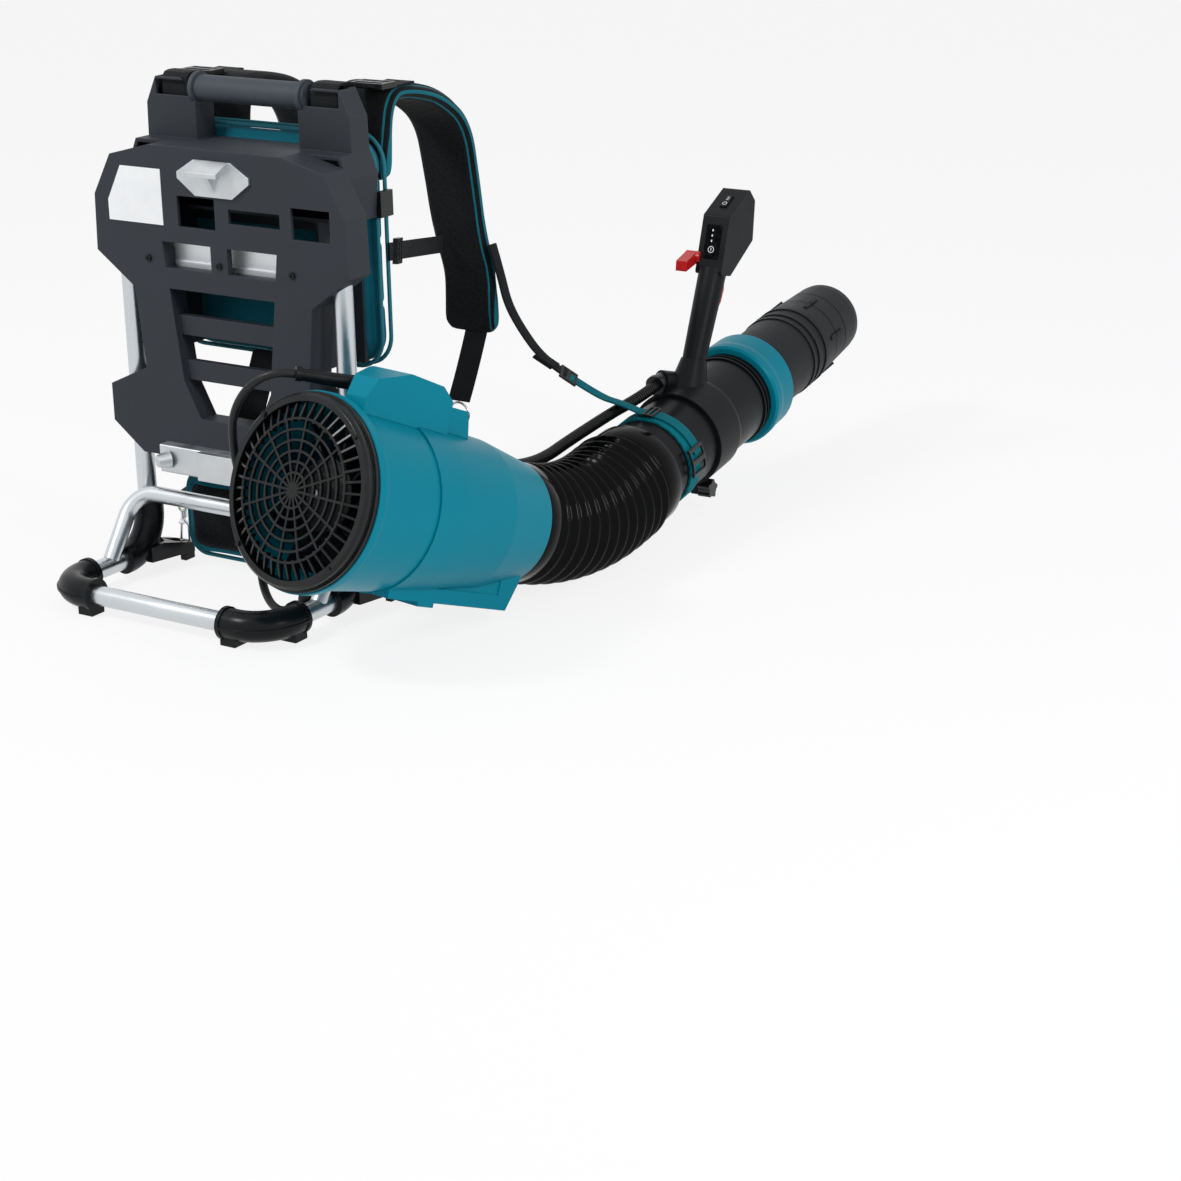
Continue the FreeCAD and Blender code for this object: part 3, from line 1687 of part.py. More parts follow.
def face_frame(bottom, top, share):
    start = V(grip_top.x, bottom[0], bottom[1])
    end = V(grip_top.x, top[0], top[1])
    along = (end - start).normalize()
    outward = V(0, -along.z, along.y)
    middle = start + (end - start) * share
    return middle, along, outward


def power_button_place():
    middle, _, outward = face_frame(head_rear_bottom, head_rear_top, power_button_share)
    return middle, outward


def power_button():
    middle, outward = power_button_place()
    return rod(middle - outward * button_depth, middle + outward * button_height, button_radius)


def button_pocket():
    middle, outward = power_button_place()
    depth = button_depth + button_travel + running_gap
    return rod(middle - outward * depth, middle + outward * button_depth,
               button_radius + running_gap)


def button_block(grow, low, high):
    middle, along, outward = face_frame(head_rear_top, head_crown, 0.5)
    half_width = top_button_width / 2 + grow
    half_length = top_button_length / 2 + grow
    corners = []
    for sx, sy in ((-1, -1), (1, -1), (1, 1), (-1, 1)):
        corners.append(middle + X_AXIS * (sx * half_width) + along * (sy * half_length)
                       + outward * low)
    face = Part.Face(Part.makePolygon(corners + corners[:1]))
    return face.extrude(outward * (high - low))


def top_button():
    return button_block(0.0, -top_button_depth, button_height)


def top_button_pocket():
    return button_block(running_gap, -top_button_depth - button_travel - running_gap, button_depth)


def clamp_knob():
    centre = collar_middle()
    height = -(pipe_radius + running_gap + collar_thickness) - lug_drop
    face = -lug_half_width - soft_gap
    shank = rod(V(centre, lug_half_width - 1, height), V(centre, face - 3, height),
                knob_shank_radius)
    head = rod(V(centre, face, height), V(centre, face - knob_length, height), knob_radius)
    lobe = rod(V(centre + knob_radius, face, height),
               V(centre + knob_radius, face - knob_length, height), knob_radius / 3)
    lobes = []
    for k in range(knob_lobes):
        copy = lobe.copy()
        copy.rotate(V(centre, 0, height), Y_AXIS, 360.0 * k / knob_lobes)
        lobes.append(copy)
    return head.fuse([shank] + lobes).removeSplitter()


def gland():
    start = collar_middle() - gland_length
    seat = collar_middle() - gland_length / 2
    end = seat + gland_length / 2
    body = rod(gland_point(start), gland_point(end), gland_radius)
    nut = rod(gland_point(start - gland_nut_length), gland_point(start), gland_radius + 2)
    bore = rod(gland_point(start + gland_length / 4), gland_point(end + 1), conduit_diameter / 2)
    return body.fuse(nut).cut(bore).removeSplitter()


def beside_pipe(distance, offset, angle):
    turn = math.radians(angle)
    return pipe_frame.multVec(V(distance, offset * math.sin(turn), offset * math.cos(turn)))


def beside_hose(distance, offset, angle):
    station = hose_stations()[0]
    spot, heading = station(distance)
    left = Z_AXIS.cross(heading).normalize()
    up = heading.cross(left)
    turn = math.radians(angle)
    return spot + left * (offset * math.sin(turn)) + up * (offset * math.cos(turn))


def conduit_route():
    start = collar_middle() - gland_length - gland_nut_length - running_gap
    points = [pipe_frame.multVec(gland_point(start)),
              pipe_frame.multVec(gland_point(start - conduit_lead))]
    for place, offset, angle in conduit_pipe_stops:
        points.append(beside_pipe(place, offset, angle))
    for place in conduit_hose_places:
        points.append(beside_hose(place, conduit_hose_offset, conduit_hose_angle))
    face = outlet_distance - boss_setback
    points.append(blower_frame.multVec(boss_point(face + conduit_lead)))
    points.append(blower_frame.multVec(boss_point(face)))
    return points


def arc_radii(points):
    radii = []
    for before, corner, after in zip(points, points[1:], points[2:]):
        into = corner - before
        out = after - corner
        shorter = min(into.Length, out.Length)
        turn = into.getAngle(out)
        radii.append(0.45 * shorter / math.tan(turn / 2))
    return radii


def conduit():
    points = conduit_route()
    radii = arc_radii(points)
    print("conduit radii", [round(r, 1) for r in radii])
    path = route(points, radii)
    print("conduit length", round(path.Length, 1))
    return round_sweep(path, conduit_diameter / 2)


def pipe_strap():
    start = pipe_strap_place
    inner = pipe_radius + pipe_strap_gap
    return washer(start, start + pipe_strap_width, inner + pipe_strap_thickness, inner)


def strap_buckle():
    start = pipe_strap_place - strap_buckle_margin
    end = pipe_strap_place + pipe_strap_width + strap_buckle_margin
    low = pipe_radius + pipe_strap_gap + pipe_strap_thickness + pipe_strap_gap
    high = low + strap_buckle_height
    body = make_box(start, end, -strap_buckle_half, strap_buckle_half, low, high)
    upper = [e for e in body.Edges if e.CenterOfMass.z > (low + high) / 2]
    body = body.makeFillet(strap_buckle_round, upper)
    body = body.cut(rod(V(start - 1, 0, 0), V(end + 1, 0, 0), low))
    copies = []
    for angle in strap_buckle_angles:
        copy = body.copy()
        copy.rotate(V(0, 0, 0), X_AXIS, angle)
        copies.append(copy)
    return copies


# Power cord

def cord_route():
    along = sleeve_direction()
    return [blower_frame.multVec(sleeve_end - along * sleeve_grip),
            blower_frame.multVec(sleeve_end + along * cord_lead)] + list(cord_points)


def cord_tube():
    points = cord_route()
    radii = arc_radii(points)
    print("power cord radii", [round(r, 1) for r in radii])
    path = route(points, radii)
    print("power cord length", round(path.Length, 1))
    solid = round_sweep(path, cord_diameter / 2)
    section = math.pi * cord_diameter ** 2 / 4
    print("power cord volume ratio", round(solid.Volume / (section * path.Length), 4))
    return solid


def power_plug():
    end = cord_points[-1]
    heading = (end - cord_points[-2]).normalize()
    grip_end = end + heading * plug_tail
    tail = cone(end, grip_end, cord_diameter / 2, plug_radius * 0.7)
    body = rod(grip_end, grip_end + heading * plug_length, plug_radius)
    socket = rod(grip_end + heading * (plug_length - plug_socket_depth),
                 grip_end + heading * (plug_length + 1), plug_radius - plug_socket_wall)
    return tail.fuse(body).cut(socket).removeSplitter()


# Support webbing from the shoulder strap to the pipe

def support_webbing():
    offset = pipe_radius + pipe_strap_thickness + 4.5
    place = pipe_strap_place + pipe_strap_width / 2
    end = beside_pipe(place, offset, support_angle)
    over = [beside_pipe(*stop) for stop in support_over_stops]
    points = [support_start] + list(support_bends) + over + [end]
    return ribbon(points, arc_radii(points), support_width, webbing_thickness, Y_AXIS)


def side_webbing_ends():
    start = V(pad_half_width + webbing_thickness, tower_back + pad_thickness * 0.7,
              side_strap_height)
    end = V(strap_centre - strap_width / 2 + side_strap_lap, side_strap_reach,
            side_strap_height - side_strap_drop)
    return start, end


def side_webbing():
    start, end = side_webbing_ends()
    return flat_strip(start, end, narrow_webbing_width, webbing_thickness, Z_AXIS)


def side_buckle():
    start, end = side_webbing_ends()
    heading = (end - start).normalize()
    outward = heading.cross(Z_AXIS).normalize()
    lift = webbing_thickness / 2 + buckle_thickness / 2 + soft_gap
    centre = start + heading * buckle_length + outward * lift
    return ladder_buckle(centre, heading, narrow_webbing_width, 90.0)


def side_loop():
    x = pad_half_width + soft_gap
    y = tower_back + pad_thickness / 2
    half = side_loop_length / 2
    return make_box(x, x + buckle_thickness, y - side_loop_width / 2, y + side_loop_width / 2,
                    side_loop_height - half, side_loop_height + half)


def build():
    tube_cutter = frame_space()
    arch_cutter = arch_space()
    nodes = {}
    foot_hoop, uprights = frame_halves()
    nodes["frame_tube"] = foot_hoop
    nodes["upright_tubes"] = uprights
    nodes["arch_tube"] = arch_tube(tube_cutter)
    boot = front_boot(tube_cutter)
    nodes["front_boot_right"] = boot
    nodes["front_boot_left"] = mirror_x(boot)
    boot = rear_boot(tube_cutter, arch_cutter)
    nodes["rear_boot_right"] = boot
    nodes["rear_boot_left"] = mirror_x(boot)
    nodes["carrier_plate"] = carrier_plate(tube_cutter)
    nodes["plate_screws"] = plate_screws()
    nodes["label_plate"] = label_plate()
    nodes["upper_catch"] = upper_catch()
    nodes["lower_bracket"] = lower_bracket()
    nodes["cross_rail"] = cross_rail()
    nodes["tower_shell"] = tower_shell(tube_cutter)
    nodes["carry_grip"] = carry_grip()
    nodes["pad_carrier"] = pad_carrier()
    nodes["back_pad"] = back_pad()
    nodes["waist_belt"] = waist_belt()
    strap = shoulder_strap()
    nodes["shoulder_strap_right"] = strap
    nodes["shoulder_strap_left"] = mirror_x(strap)
    webbing = [anchor_webbing(), side_webbing()] + lower_webbing()
    webbing += [mirror_x(w) for w in webbing]
    nodes["harness_webbing"] = group(webbing)
    nodes["belt_webbing"] = group(belt_webbing())
    buckles = [top_buckle(), side_buckle(), side_loop()]
    buckles += [mirror_x(b) for b in buckles]
    nodes["harness_buckles"] = group(buckles)
    hook = snap_hook()
    nodes["snap_hook_right"] = hook
    nodes["snap_hook_left"] = mirror_x(hook)
    nodes["hook_gate_right"] = hook_gate()
    nodes["hook_gate_left"] = mirror_x(hook_gate())
    nodes["harness_rings"] = group([harness_ring(), mirror_x(harness_ring())])
    nodes["support_webbing"] = support_webbing()

    local = {}
    local["housing_rear"] = housing_rear()
    local["housing_front"] = housing_front()
    local["controller_cover"] = controller_cover()
    local["intake_grille"] = intake_grille()
    local["grille_ring"] = grille_ring()
    local["grille_screws"] = grille_screws()
    local["fan_rotor"] = fan_rotor()
    local["motor_shaft"] = motor_shaft()
    local["motor_can"] = motor_can()
    local["stator_vanes"] = stator_vanes()
    local["strain_relief"] = strain_relief()
    for name, shape in local.items():
        nodes[name] = placed(shape, blower_frame)
    nodes["blower_bracket"] = blower_bracket(tube_cutter, arch_cutter)
    nodes["dampers"] = dampers(placed(housing_core(seat_gap), blower_frame))
    nodes["bellows"] = bellows()
    nodes["bellows_hoop"] = bellows_hoop()

    local = {}
    local["swivel_pipe"] = swivel_pipe()
    local["lock_ring"] = lock_ring()
    local["nozzle"] = nozzle()
    local["clamp_knob"] = clamp_knob()
    local["conduit_gland"] = gland()
    local["pipe_strap"] = pipe_strap()
    local["strap_buckles"] = group(strap_buckle())
    for name, shape in local.items():
        nodes[name] = placed(shape, pipe_frame)
    nodes["handle_collar"] = handle_collar()
    nodes["control_handle"] = control_handle()
    nodes["trigger"] = trigger()
    nodes["cruise_lever"] = cruise_lever()
    nodes["power_button"] = power_button()
    nodes["top_button"] = top_button()
    nodes["control_conduit"] = conduit()
    nodes["power_cord"] = cord_tube()
    nodes["power_plug"] = power_plug()
    return nodes


def main():
    os.makedirs("parts", exist_ok=True)
    for name, shape in build().items():
        shape.exportStep("parts/" + name + ".step")
        box = shape.BoundBox
        print(name, len(shape.Solids), shape.isValid(), round(shape.Volume), round(box.XMin),
              round(box.XMax), round(box.YMin), round(box.YMax), round(box.ZMin), round(box.ZMax))
    print("bend point", bend_point)
    print("pipe axis", pipe_frame.multVec(V(1, 0, 0)) - bend_point)
    print("nozzle end", pipe_frame.multVec(V(nozzle_end, 0, 0)))


main()
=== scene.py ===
import bisect
import math

import bpy
from mathutils import Matrix, Vector


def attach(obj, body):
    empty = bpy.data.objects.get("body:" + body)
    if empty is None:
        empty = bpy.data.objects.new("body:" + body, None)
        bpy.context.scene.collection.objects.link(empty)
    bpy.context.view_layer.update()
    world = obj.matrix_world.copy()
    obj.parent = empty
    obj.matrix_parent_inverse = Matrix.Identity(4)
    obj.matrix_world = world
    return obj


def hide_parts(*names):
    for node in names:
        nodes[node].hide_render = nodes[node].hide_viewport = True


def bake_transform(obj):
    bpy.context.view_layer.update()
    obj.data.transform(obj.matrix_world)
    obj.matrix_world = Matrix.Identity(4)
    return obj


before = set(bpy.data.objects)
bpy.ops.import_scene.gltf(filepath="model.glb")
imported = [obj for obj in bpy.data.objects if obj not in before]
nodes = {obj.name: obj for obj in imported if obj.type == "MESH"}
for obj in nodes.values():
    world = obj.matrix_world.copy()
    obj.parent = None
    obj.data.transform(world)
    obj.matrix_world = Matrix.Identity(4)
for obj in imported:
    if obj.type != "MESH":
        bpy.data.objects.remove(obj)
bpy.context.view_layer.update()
scene = bpy.context.scene
bpy.ops.object.select_all(action="DESELECT")


# Frame tubes
# Drawn aluminium tube, bent cold and satin anodised: a soft grey metal with a fine drawn
# grain. The arch is a thinner tube of the same kind and is welded to the foot tubes.

def linear(code):
    parts = [int(code[i:i + 2], 16) / 255 for i in (1, 3, 5)]
    parts = [p / 12.92 if p <= 0.04045 else ((p + 0.055) / 1.055) ** 2.4 for p in parts]
    return (*parts, 1.0)


def new_material(name, colour, roughness, metallic=0.0, specular=0.5):
    made = bpy.data.materials.new(name)
    made.use_nodes = True
    shader = made.node_tree.nodes["Principled BSDF"]
    shader.inputs["Base Color"].default_value = linear(colour)
    shader.inputs["Roughness"].default_value = roughness
    shader.inputs["Metallic"].default_value = metallic
    shader.inputs["Specular IOR Level"].default_value = specular
    return made, shader, add(made, "TexCoord", {}, "Object")


def add(material, kind, inputs, output=0, **settings):
    made = material.node_tree.nodes.new("ShaderNode" + kind)
    for name, value in settings.items():
        setattr(made, name, value)
    for socket, value in inputs.items():
        if isinstance(value, bpy.types.NodeSocket):
            material.node_tree.links.new(value, made.inputs[socket])
        else:
            made.inputs[socket].default_value = value
    return made.outputs[output]


def link(material, output, socket):
    material.node_tree.links.new(output, socket)


def paint(material, *pieces):
    for piece in pieces:
        shown = nodes[piece] if isinstance(piece, str) else piece
        shown.data.materials.clear()
        shown.data.materials.append(material)


def finish(material, shader, noise=None, tones=None, polish=None, span=(0.3, 0.7), relief=None,
           edge=None):
    # clouds of two tones and two degrees of polish, as moulding and handling leave them, a relief
    # as (height, strength, depth in millimetres) and an edge radius in millimetres or its normal
    if polish:
        link(material, add(material, "MapRange", {"Value": noise, 1: span[0], 2: span[1], 3: polish[0],
                                                  4: polish[1]}), shader.inputs["Roughness"])
    if tones:
        link(material, add(material, "Mix", {0: noise, 6: linear(tones[0]), 7: linear(tones[1])}, 2,
                           data_type="RGBA"), shader.inputs["Base Color"])
    if isinstance(edge, float):
        edge = add(material, "Bevel", {"Radius": edge / 1000}, samples=4)
    if relief:
        start = {} if edge is None else {"Normal": edge}
        edge = add(material, "Bump", {"Height": relief[0], "Strength": relief[1],
                                      "Distance": relief[2] / 1000, **start})
    if edge is not None:
        link(material, edge, shader.inputs["Normal"])


satin_aluminium, shader, place = new_material("satin_anodised_aluminium", "#C9CDD1", 0.3, 1.0)
drawn_grain_mm = 0.9
grain = add(satin_aluminium, "TexNoise", {"Vector": place, "Scale": 1000 / drawn_grain_mm,
                                          "Detail": 3.0, "Roughness": 0.6})
cloud = add(satin_aluminium, "TexNoise", {"Vector": place, "Scale": 18.0, "Detail": 3.0})
finish(satin_aluminium, shader, cloud, ("#C2C7CC", "#D3D7DA"), (0.24, 0.36), relief=(grain, 0.08, 0.2))
paint(satin_aluminium, "frame_tube", "upright_tubes", "arch_tube")


# Rubber boots
# Black EPDM rubber, moulded in one piece with their ridge, end lips, loops and foot blocks,
# and pulled over the bends of the tube. A polished mould gives them a soft gloss.

boot_rubber, shader, place = new_material("moulded_epdm_rubber", "#0D0E10", 0.3, specular=0.16)
rubber_grain_mm = 0.8
grain = add(boot_rubber, "TexNoise", {"Vector": place, "Scale": 1000 / rubber_grain_mm, "Detail": 4.0})
dust = add(boot_rubber, "TexNoise", {"Vector": place, "Scale": 35.0, "Detail": 5.0, "Roughness": 0.65})
finish(boot_rubber, shader, dust, ("#0B0C0E", "#15171A"), (0.22, 0.4), span=(0.35, 0.7),
       relief=(grain, 0.15, 0.2), edge=0.8)
paint(boot_rubber, "front_boot_left", "front_boot_right", "rear_boot_left", "rear_boot_right")


# Carrier plate, towers and inner walls
# Glass-filled nylon, injection moulded with an even spark-eroded texture: dark blue-grey,
# matt on its faces, with a painted highlight, a paler tone, along its edges.

def paint_edge_highlight(material, shader, cloud, tones, edge_mm, most_highlight):
    # two clouded tones and a third, paler one painted along the rounded edges as a highlight, whose normal it
    # gives back
    round_edge = add(material, "Bevel", {"Radius": edge_mm / 1000}, samples=4)
    flat = add(material, "NewGeometry", {}, "Normal")
    edge = add(material, "VectorMath", {0: round_edge, 1: flat}, "Value", operation="DOT_PRODUCT")
    # painted highlight: the pale tone's share grows where the bevelled normal turns away from the flat one
    edge_highlight_share = add(material, "MapRange", {"Value": edge, 1: 0.999, 2: 0.93, 3: 0.0, 4: most_highlight})
    dark, light, highlight_tone = (linear(tone) for tone in tones)
    body = add(material, "Mix", {0: cloud, 6: dark, 7: light}, 2, data_type="RGBA")
    link(material, add(material, "Mix", {0: edge_highlight_share, 6: body, 7: highlight_tone}, 2, data_type="RGBA"),
         shader.inputs["Base Color"])
    return round_edge


nylon, shader, place = new_material("textured_glass_filled_nylon", "#2A2D33", 0.5, specular=0.22)
texture_mm = 0.7
grain = add(nylon, "TexNoise", {"Vector": place, "Scale": 1000 / texture_mm, "Detail": 2.0})
cloud = add(nylon, "TexNoise", {"Vector": place, "Scale": 9.0, "Detail": 4.0, "Roughness": 0.55})
# the third tone, #4A5058, is a painted highlight along the rounded edges
round_edge = paint_edge_highlight(nylon, shader, cloud, ("#272A30", "#2F333A", "#4A5058"), 1.2, 0.35)
finish(nylon, shader, cloud, polish=(0.46, 0.58), relief=(grain, 0.3, 0.25), edge=round_edge)
paint(nylon, "carrier_plate", "tower_shell", "pad_carrier")


# Carry grip
# A soft rubber sleeve moulded over the bar between the towers, a shade paler and duller
# than the towers, with a fine peened grain.

soft_grip, shader, place = new_material("overmoulded_soft_rubber", "#3A3E46", 0.62, specular=0.25)
peen_mm = 1.4
peen = add(soft_grip, "TexVoronoi", {"Vector": place, "Scale": 1000 / peen_mm}, "Distance")
haze = add(soft_grip, "TexNoise", {"Vector": place, "Scale": 22.0, "Detail": 4.0})
finish(soft_grip, shader, haze, ("#363A42", "#41464F"), (0.55, 0.68), relief=(peen, 0.12, 0.3))
paint(soft_grip, "carry_grip")


# Label place
# A die-cut film of white polyester under a matt laminate, pressed into its shallow recess.
# It stays bare.

label_film, shader, place = new_material("matt_laminated_film", "#E7E9EB", 0.38)
haze = add(label_film, "TexNoise", {"Vector": place, "Scale": 60.0, "Detail": 3.0})
finish(label_film, shader, haze, ("#E2E5E8", "#EDEEEF"), relief=(haze, 0.05, 0.3))
paint(label_film, "label_plate")


# Catch, foot bracket and cross rail
# The catch and the bracket are die-cast aluminium, tumbled, so their faces are grey and
# grainy and their edges bright. The rail is the same metal, extruded, with drawn lines.

cast_aluminium, shader, place = new_material("tumbled_cast_aluminium", "#C6CACD", 0.42, 1.0)
cast_grain_mm = 1.1
grain = add(cast_aluminium, "TexNoise", {"Vector": place, "Scale": 1000 / cast_grain_mm, "Detail": 5.0,
                                         "Roughness": 0.6})
cloud = add(cast_aluminium, "TexNoise", {"Vector": place, "Scale": 40.0, "Detail": 4.0})
finish(cast_aluminium, shader, cloud, ("#B4B9BD", "#D6D9DB"), (0.34, 0.52),
       relief=(grain, 0.22, 0.3), edge=0.8)
paint(cast_aluminium, "upper_catch", "lower_bracket")

extruded_aluminium, shader, place = new_material("extruded_aluminium", "#E2E5E8", 0.42, 0.85)
lengthwise = add(extruded_aluminium, "Mapping", {"Vector": place, "Scale": (6.0, 900.0, 900.0)})
lines = add(extruded_aluminium, "TexNoise", {"Vector": lengthwise, "Scale": 1.0, "Detail": 3.0})
finish(extruded_aluminium, shader, lines, polish=(0.38, 0.5), relief=(lines, 0.04, 0.2))
paint(extruded_aluminium, "cross_rail")


# Screws, rings and snap hooks
# Plated steel: the plate's and the grille's screws are blackened, the rings, hooks and
# gates are bright zinc over bent wire, with a slight orange peel.

black_screw, shader, place = new_material("blackened_steel", "#1B1C1E", 0.36, 0.7)
haze = add(black_screw, "TexNoise", {"Vector": place, "Scale": 400.0, "Detail": 3.0})
finish(black_screw, shader, haze, polish=(0.28, 0.45))
paint(black_screw, "plate_screws", "grille_screws")

zinc_steel, shader, place = new_material("bright_zinc_plated_steel", "#CFD2D4", 0.22, 1.0)
peel = add(zinc_steel, "TexNoise", {"Vector": place, "Scale": 300.0, "Detail": 3.0})
finish(zinc_steel, shader, peel, polish=(0.16, 0.32), relief=(peel, 0.08, 0.3))
paint(zinc_steel, "harness_rings", "snap_hook_left", "snap_hook_right", "hook_gate_left",
      "hook_gate_right", "bellows_hoop")


# Back pad
# A foam board sewn into a cover: teal twill polyester on the back and the border, black
# spacer mesh towards the wearer, piped seams and a sewn air channel down the middle.

twill_mm = 3.2
mesh_cell_mm = 4.2
rim_band_mm = 14.0
sheen_weight = 0.06


def cloth_shader(made, shader, place, twill_colours, mesh_colours, choice):
    # a wave texture of scale 1 repeats every 0.2 pi metres; the twill is drawn coarse to show
    twill = add(made, "TexWave", {"Vector": place, "Scale": 200 * math.pi / twill_mm, "Distortion": 0.6,
                                  "Detail": 1.0}, "Fac", bands_direction="DIAGONAL")
    cells = add(made, "TexVoronoi", {"Vector": place, "Scale": 1000 / mesh_cell_mm}, "Distance")
    cloud = add(made, "TexNoise", {"Vector": place, "Scale": 14.0, "Detail": 4.0})
    thread = add(made, "Math", {0: twill, 1: cloud}, operation="MULTIPLY")
    woven = add(made, "Mix", {0: thread, 6: linear(twill_colours[0]), 7: linear(twill_colours[1])}, 2,
                data_type="RGBA")
    hole = add(made, "MapRange", {"Value": cells, 1: 0.1, 2: 0.5})
    knitted = add(made, "Mix", {0: hole, 6: linear(mesh_colours[0]), 7: linear(mesh_colours[1])}, 2,
                  data_type="RGBA")
    link(made, add(made, "Mix", {0: choice, 6: woven, 7: knitted}, 2, data_type="RGBA"),
         shader.inputs["Base Color"])
    relief = add(made, "Mix", {0: choice, 2: twill, 3: hole}, 0, data_type="FLOAT")
    finish(made, shader, relief=(relief, 0.35, 0.6))
    shader.inputs["Sheen Weight"].default_value = sheen_weight
    shader.inputs["Sheen Roughness"].default_value = 0.5
    shader.inputs["Specular IOR Level"].default_value = 0.12


twill_teal = ("#0A5061", "#148AA0")
mesh_black = ("#060607", "#15171A")
pad_cloth, shader, place = new_material("teal_twill_with_black_spacer_mesh", "#0F5B69", 0.85)
rim = add(pad_cloth, "Attribute", {}, "Fac", attribute_name="rim")
facing = add(pad_cloth, "Attribute", {}, "Fac", attribute_name="wearer")
inside = add(pad_cloth, "Math", {0: rim, 1: rim_band_mm / 1000}, operation="GREATER_THAN")
choice = add(pad_cloth, "Math", {0: inside, 1: facing}, operation="MULTIPLY")
cloth_shader(pad_cloth, shader, place, twill_teal, mesh_black, choice)


def choose(piece):
    bpy.ops.object.select_all(action="DESELECT")
    piece.select_set(True)
    bpy.context.view_layer.objects.active = piece


def edit_all(piece):
    choose(piece)
    bpy.ops.object.mode_set(mode="EDIT")
    bpy.ops.mesh.select_all(action="SELECT")


def edit_chosen(piece, kind, chosen):
    # opens a piece in edit mode with the edges or faces that pass the test selected
    bpy.ops.object.mode_set(mode="EDIT")
    bpy.ops.mesh.select_all(action="DESELECT")
    bpy.ops.mesh.select_mode(type=kind)
    bpy.ops.object.mode_set(mode="OBJECT")
    for part in piece.data.edges if kind == "EDGE" else piece.data.polygons:
        part.select = chosen(part)
    bpy.ops.object.mode_set(mode="EDIT")


def foam_block(name, size, centre, corner, axis, rim):
    # a block with round corners seen along its thin axis, and a soft rim; in millimetres
    bpy.ops.mesh.primitive_cube_add(size=1, location=[c / 1000 for c in centre])
    block = bpy.context.object
    block.name = name
    block.scale = [s / 1000 for s in size]
    bpy.ops.object.transform_apply(location=True, rotation=False, scale=True)

    def through(e):
        a, b = (block.data.vertices[i].co for i in e.vertices)
        return abs((b - a).normalized()[axis]) >= 0.5

    def round_face(e):
        a, b = (block.data.vertices[i].co for i in e.vertices)
        outer = abs((a + b)[axis] / 2 - centre[axis] / 1000) > size[axis] / 2000 - 1e-4
        return outer and not through(e)

    for radius, segments, chosen in ((corner, 6, through), (rim, 3, round_face)):
        edit_chosen(block, "EDGE", chosen)
        bpy.ops.mesh.bevel(offset=radius / 1000, segments=segments, affect="EDGES", clamp_overlap=True)
        bpy.ops.object.mode_set(mode="OBJECT")
    return block


def apply_modifier(piece, kind, **settings):
    modifier = piece.modifiers.new(kind.lower(), kind)
    for name, value in settings.items():
        setattr(modifier, name, value)
    bpy.context.view_layer.objects.active = piece
    bpy.ops.object.modifier_apply(modifier=modifier.name)


def puff(piece, voxel_mm, cap_mm, pressure):
    apply_modifier(piece, "REMESH", mode="VOXEL", voxel_size=voxel_mm / 1000)
    start = [v.co.copy() for v in piece.data.vertices]
    cloth = piece.modifiers.new("fill", "CLOTH")
    cloth.settings.use_pressure = True
    cloth.settings.uniform_pressure_force = pressure
    cloth.settings.effector_weights.gravity = 0.0
    for step in range(1, 21):
        scene.frame_set(step)
    bpy.context.view_layer.objects.active = piece
    bpy.ops.object.modifier_apply(modifier="fill")
    scene.frame_set(1)
    for vertex, old in zip(piece.data.vertices, start):
        move = vertex.co - old
        if move.length > cap_mm / 1000:
            vertex.co = old + move.normalized() * cap_mm / 1000


def press_seam(piece, depth_mm, width_mm, away):
    normals = [n.vector.copy() for n in piece.data.vertex_normals]
    for vertex, normal in zip(piece.data.vertices, normals):
        share = math.exp(-(away(vertex.co, normal) * 1000 / width_mm) ** 2)
        vertex.co -= normal * (depth_mm / 1000 * share)


def mark(piece, name, value):
    attribute = piece.data.attributes.new(name, "FLOAT", "POINT")
    normals = [n.vector for n in piece.data.vertex_normals]
    attribute.data.foreach_set("value", [value(v.co, n) for v, n in zip(piece.data.vertices, normals)])


def smooth(piece, angle=40.0):
    choose(piece)
    bpy.ops.object.shade_smooth_by_angle(angle=math.radians(angle))


def from_outline(co, half_width, bottom, top, corner):
    # how far inside the rounded outline of a pad a point lies, in metres
    x = abs(co.x) - (half_width - corner) / 1000
    z = abs(co.z - (bottom + top) / 2000) - ((top - bottom) / 2 - corner) / 1000
    outer = math.hypot(max(x, 0), max(z, 0)) + min(max(x, z), 0)
    return corner / 1000 - outer


def piping(name, half_width, bottom, top, corner, y, radius):
    bpy.ops.mesh.primitive_plane_add(size=1, location=(0, y / 1000, (bottom + top) / 2000),
                                     rotation=(math.pi / 2, 0, 0))
    edge = bpy.context.object
    edge.name = name
    edge.scale = (half_width / 500, (top - bottom) / 1000, 1)
    bpy.ops.object.transform_apply(location=True, rotation=True, scale=True)
    edit_all(edge)
    bpy.ops.mesh.bevel(offset=corner / 1000, segments=10, affect="VERTICES")
    bpy.ops.mesh.delete(type="ONLY_FACE")
    bpy.ops.object.mode_set(mode="OBJECT")
    bpy.ops.object.convert(target="CURVE")
    edge.data.bevel_depth = radius / 1000
    edge.data.bevel_resolution = 3
    bpy.ops.object.convert(target="MESH")
    smooth(edge)
    return edge


def fix(piece, material, body):
    # gives a finished piece its material and the body that carries it
    paint(material, piece)
    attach(piece, body)


pad_half, pad_low, pad_high = 146.0, 254.0, 513.0
pad_back, pad_thick, pad_corner = 68.4, 24.0, 34.0
channel_half = 26.0
cross_seams = (325.0, 395.0, 465.0)


def sewn_pad(name, half, low, high, corner, back, thick):
    # a stuffed block, pressed in along the seam beside its border
    block = foam_block(name, (2 * half - 3, thick - 4, high - low - 3),
                       (0, back + thick / 2, (low + high) / 2), corner - 1.5, 1, 5.0)
    puff(block, 5.0, 5.0, 4.0)
    apply_modifier(block, "SUBSURF", levels=1, render_levels=1)
    bpy.ops.object.shade_smooth()
    press_seam(block, 1.8, 2.6,
               lambda co, n: abs(from_outline(co, half, low, high, corner) - rim_band_mm / 1000))
    return block


def pad_channel(co, normal):
    return max(abs(co.x) - channel_half / 1000, 0) if normal.y > 0.3 else 1.0


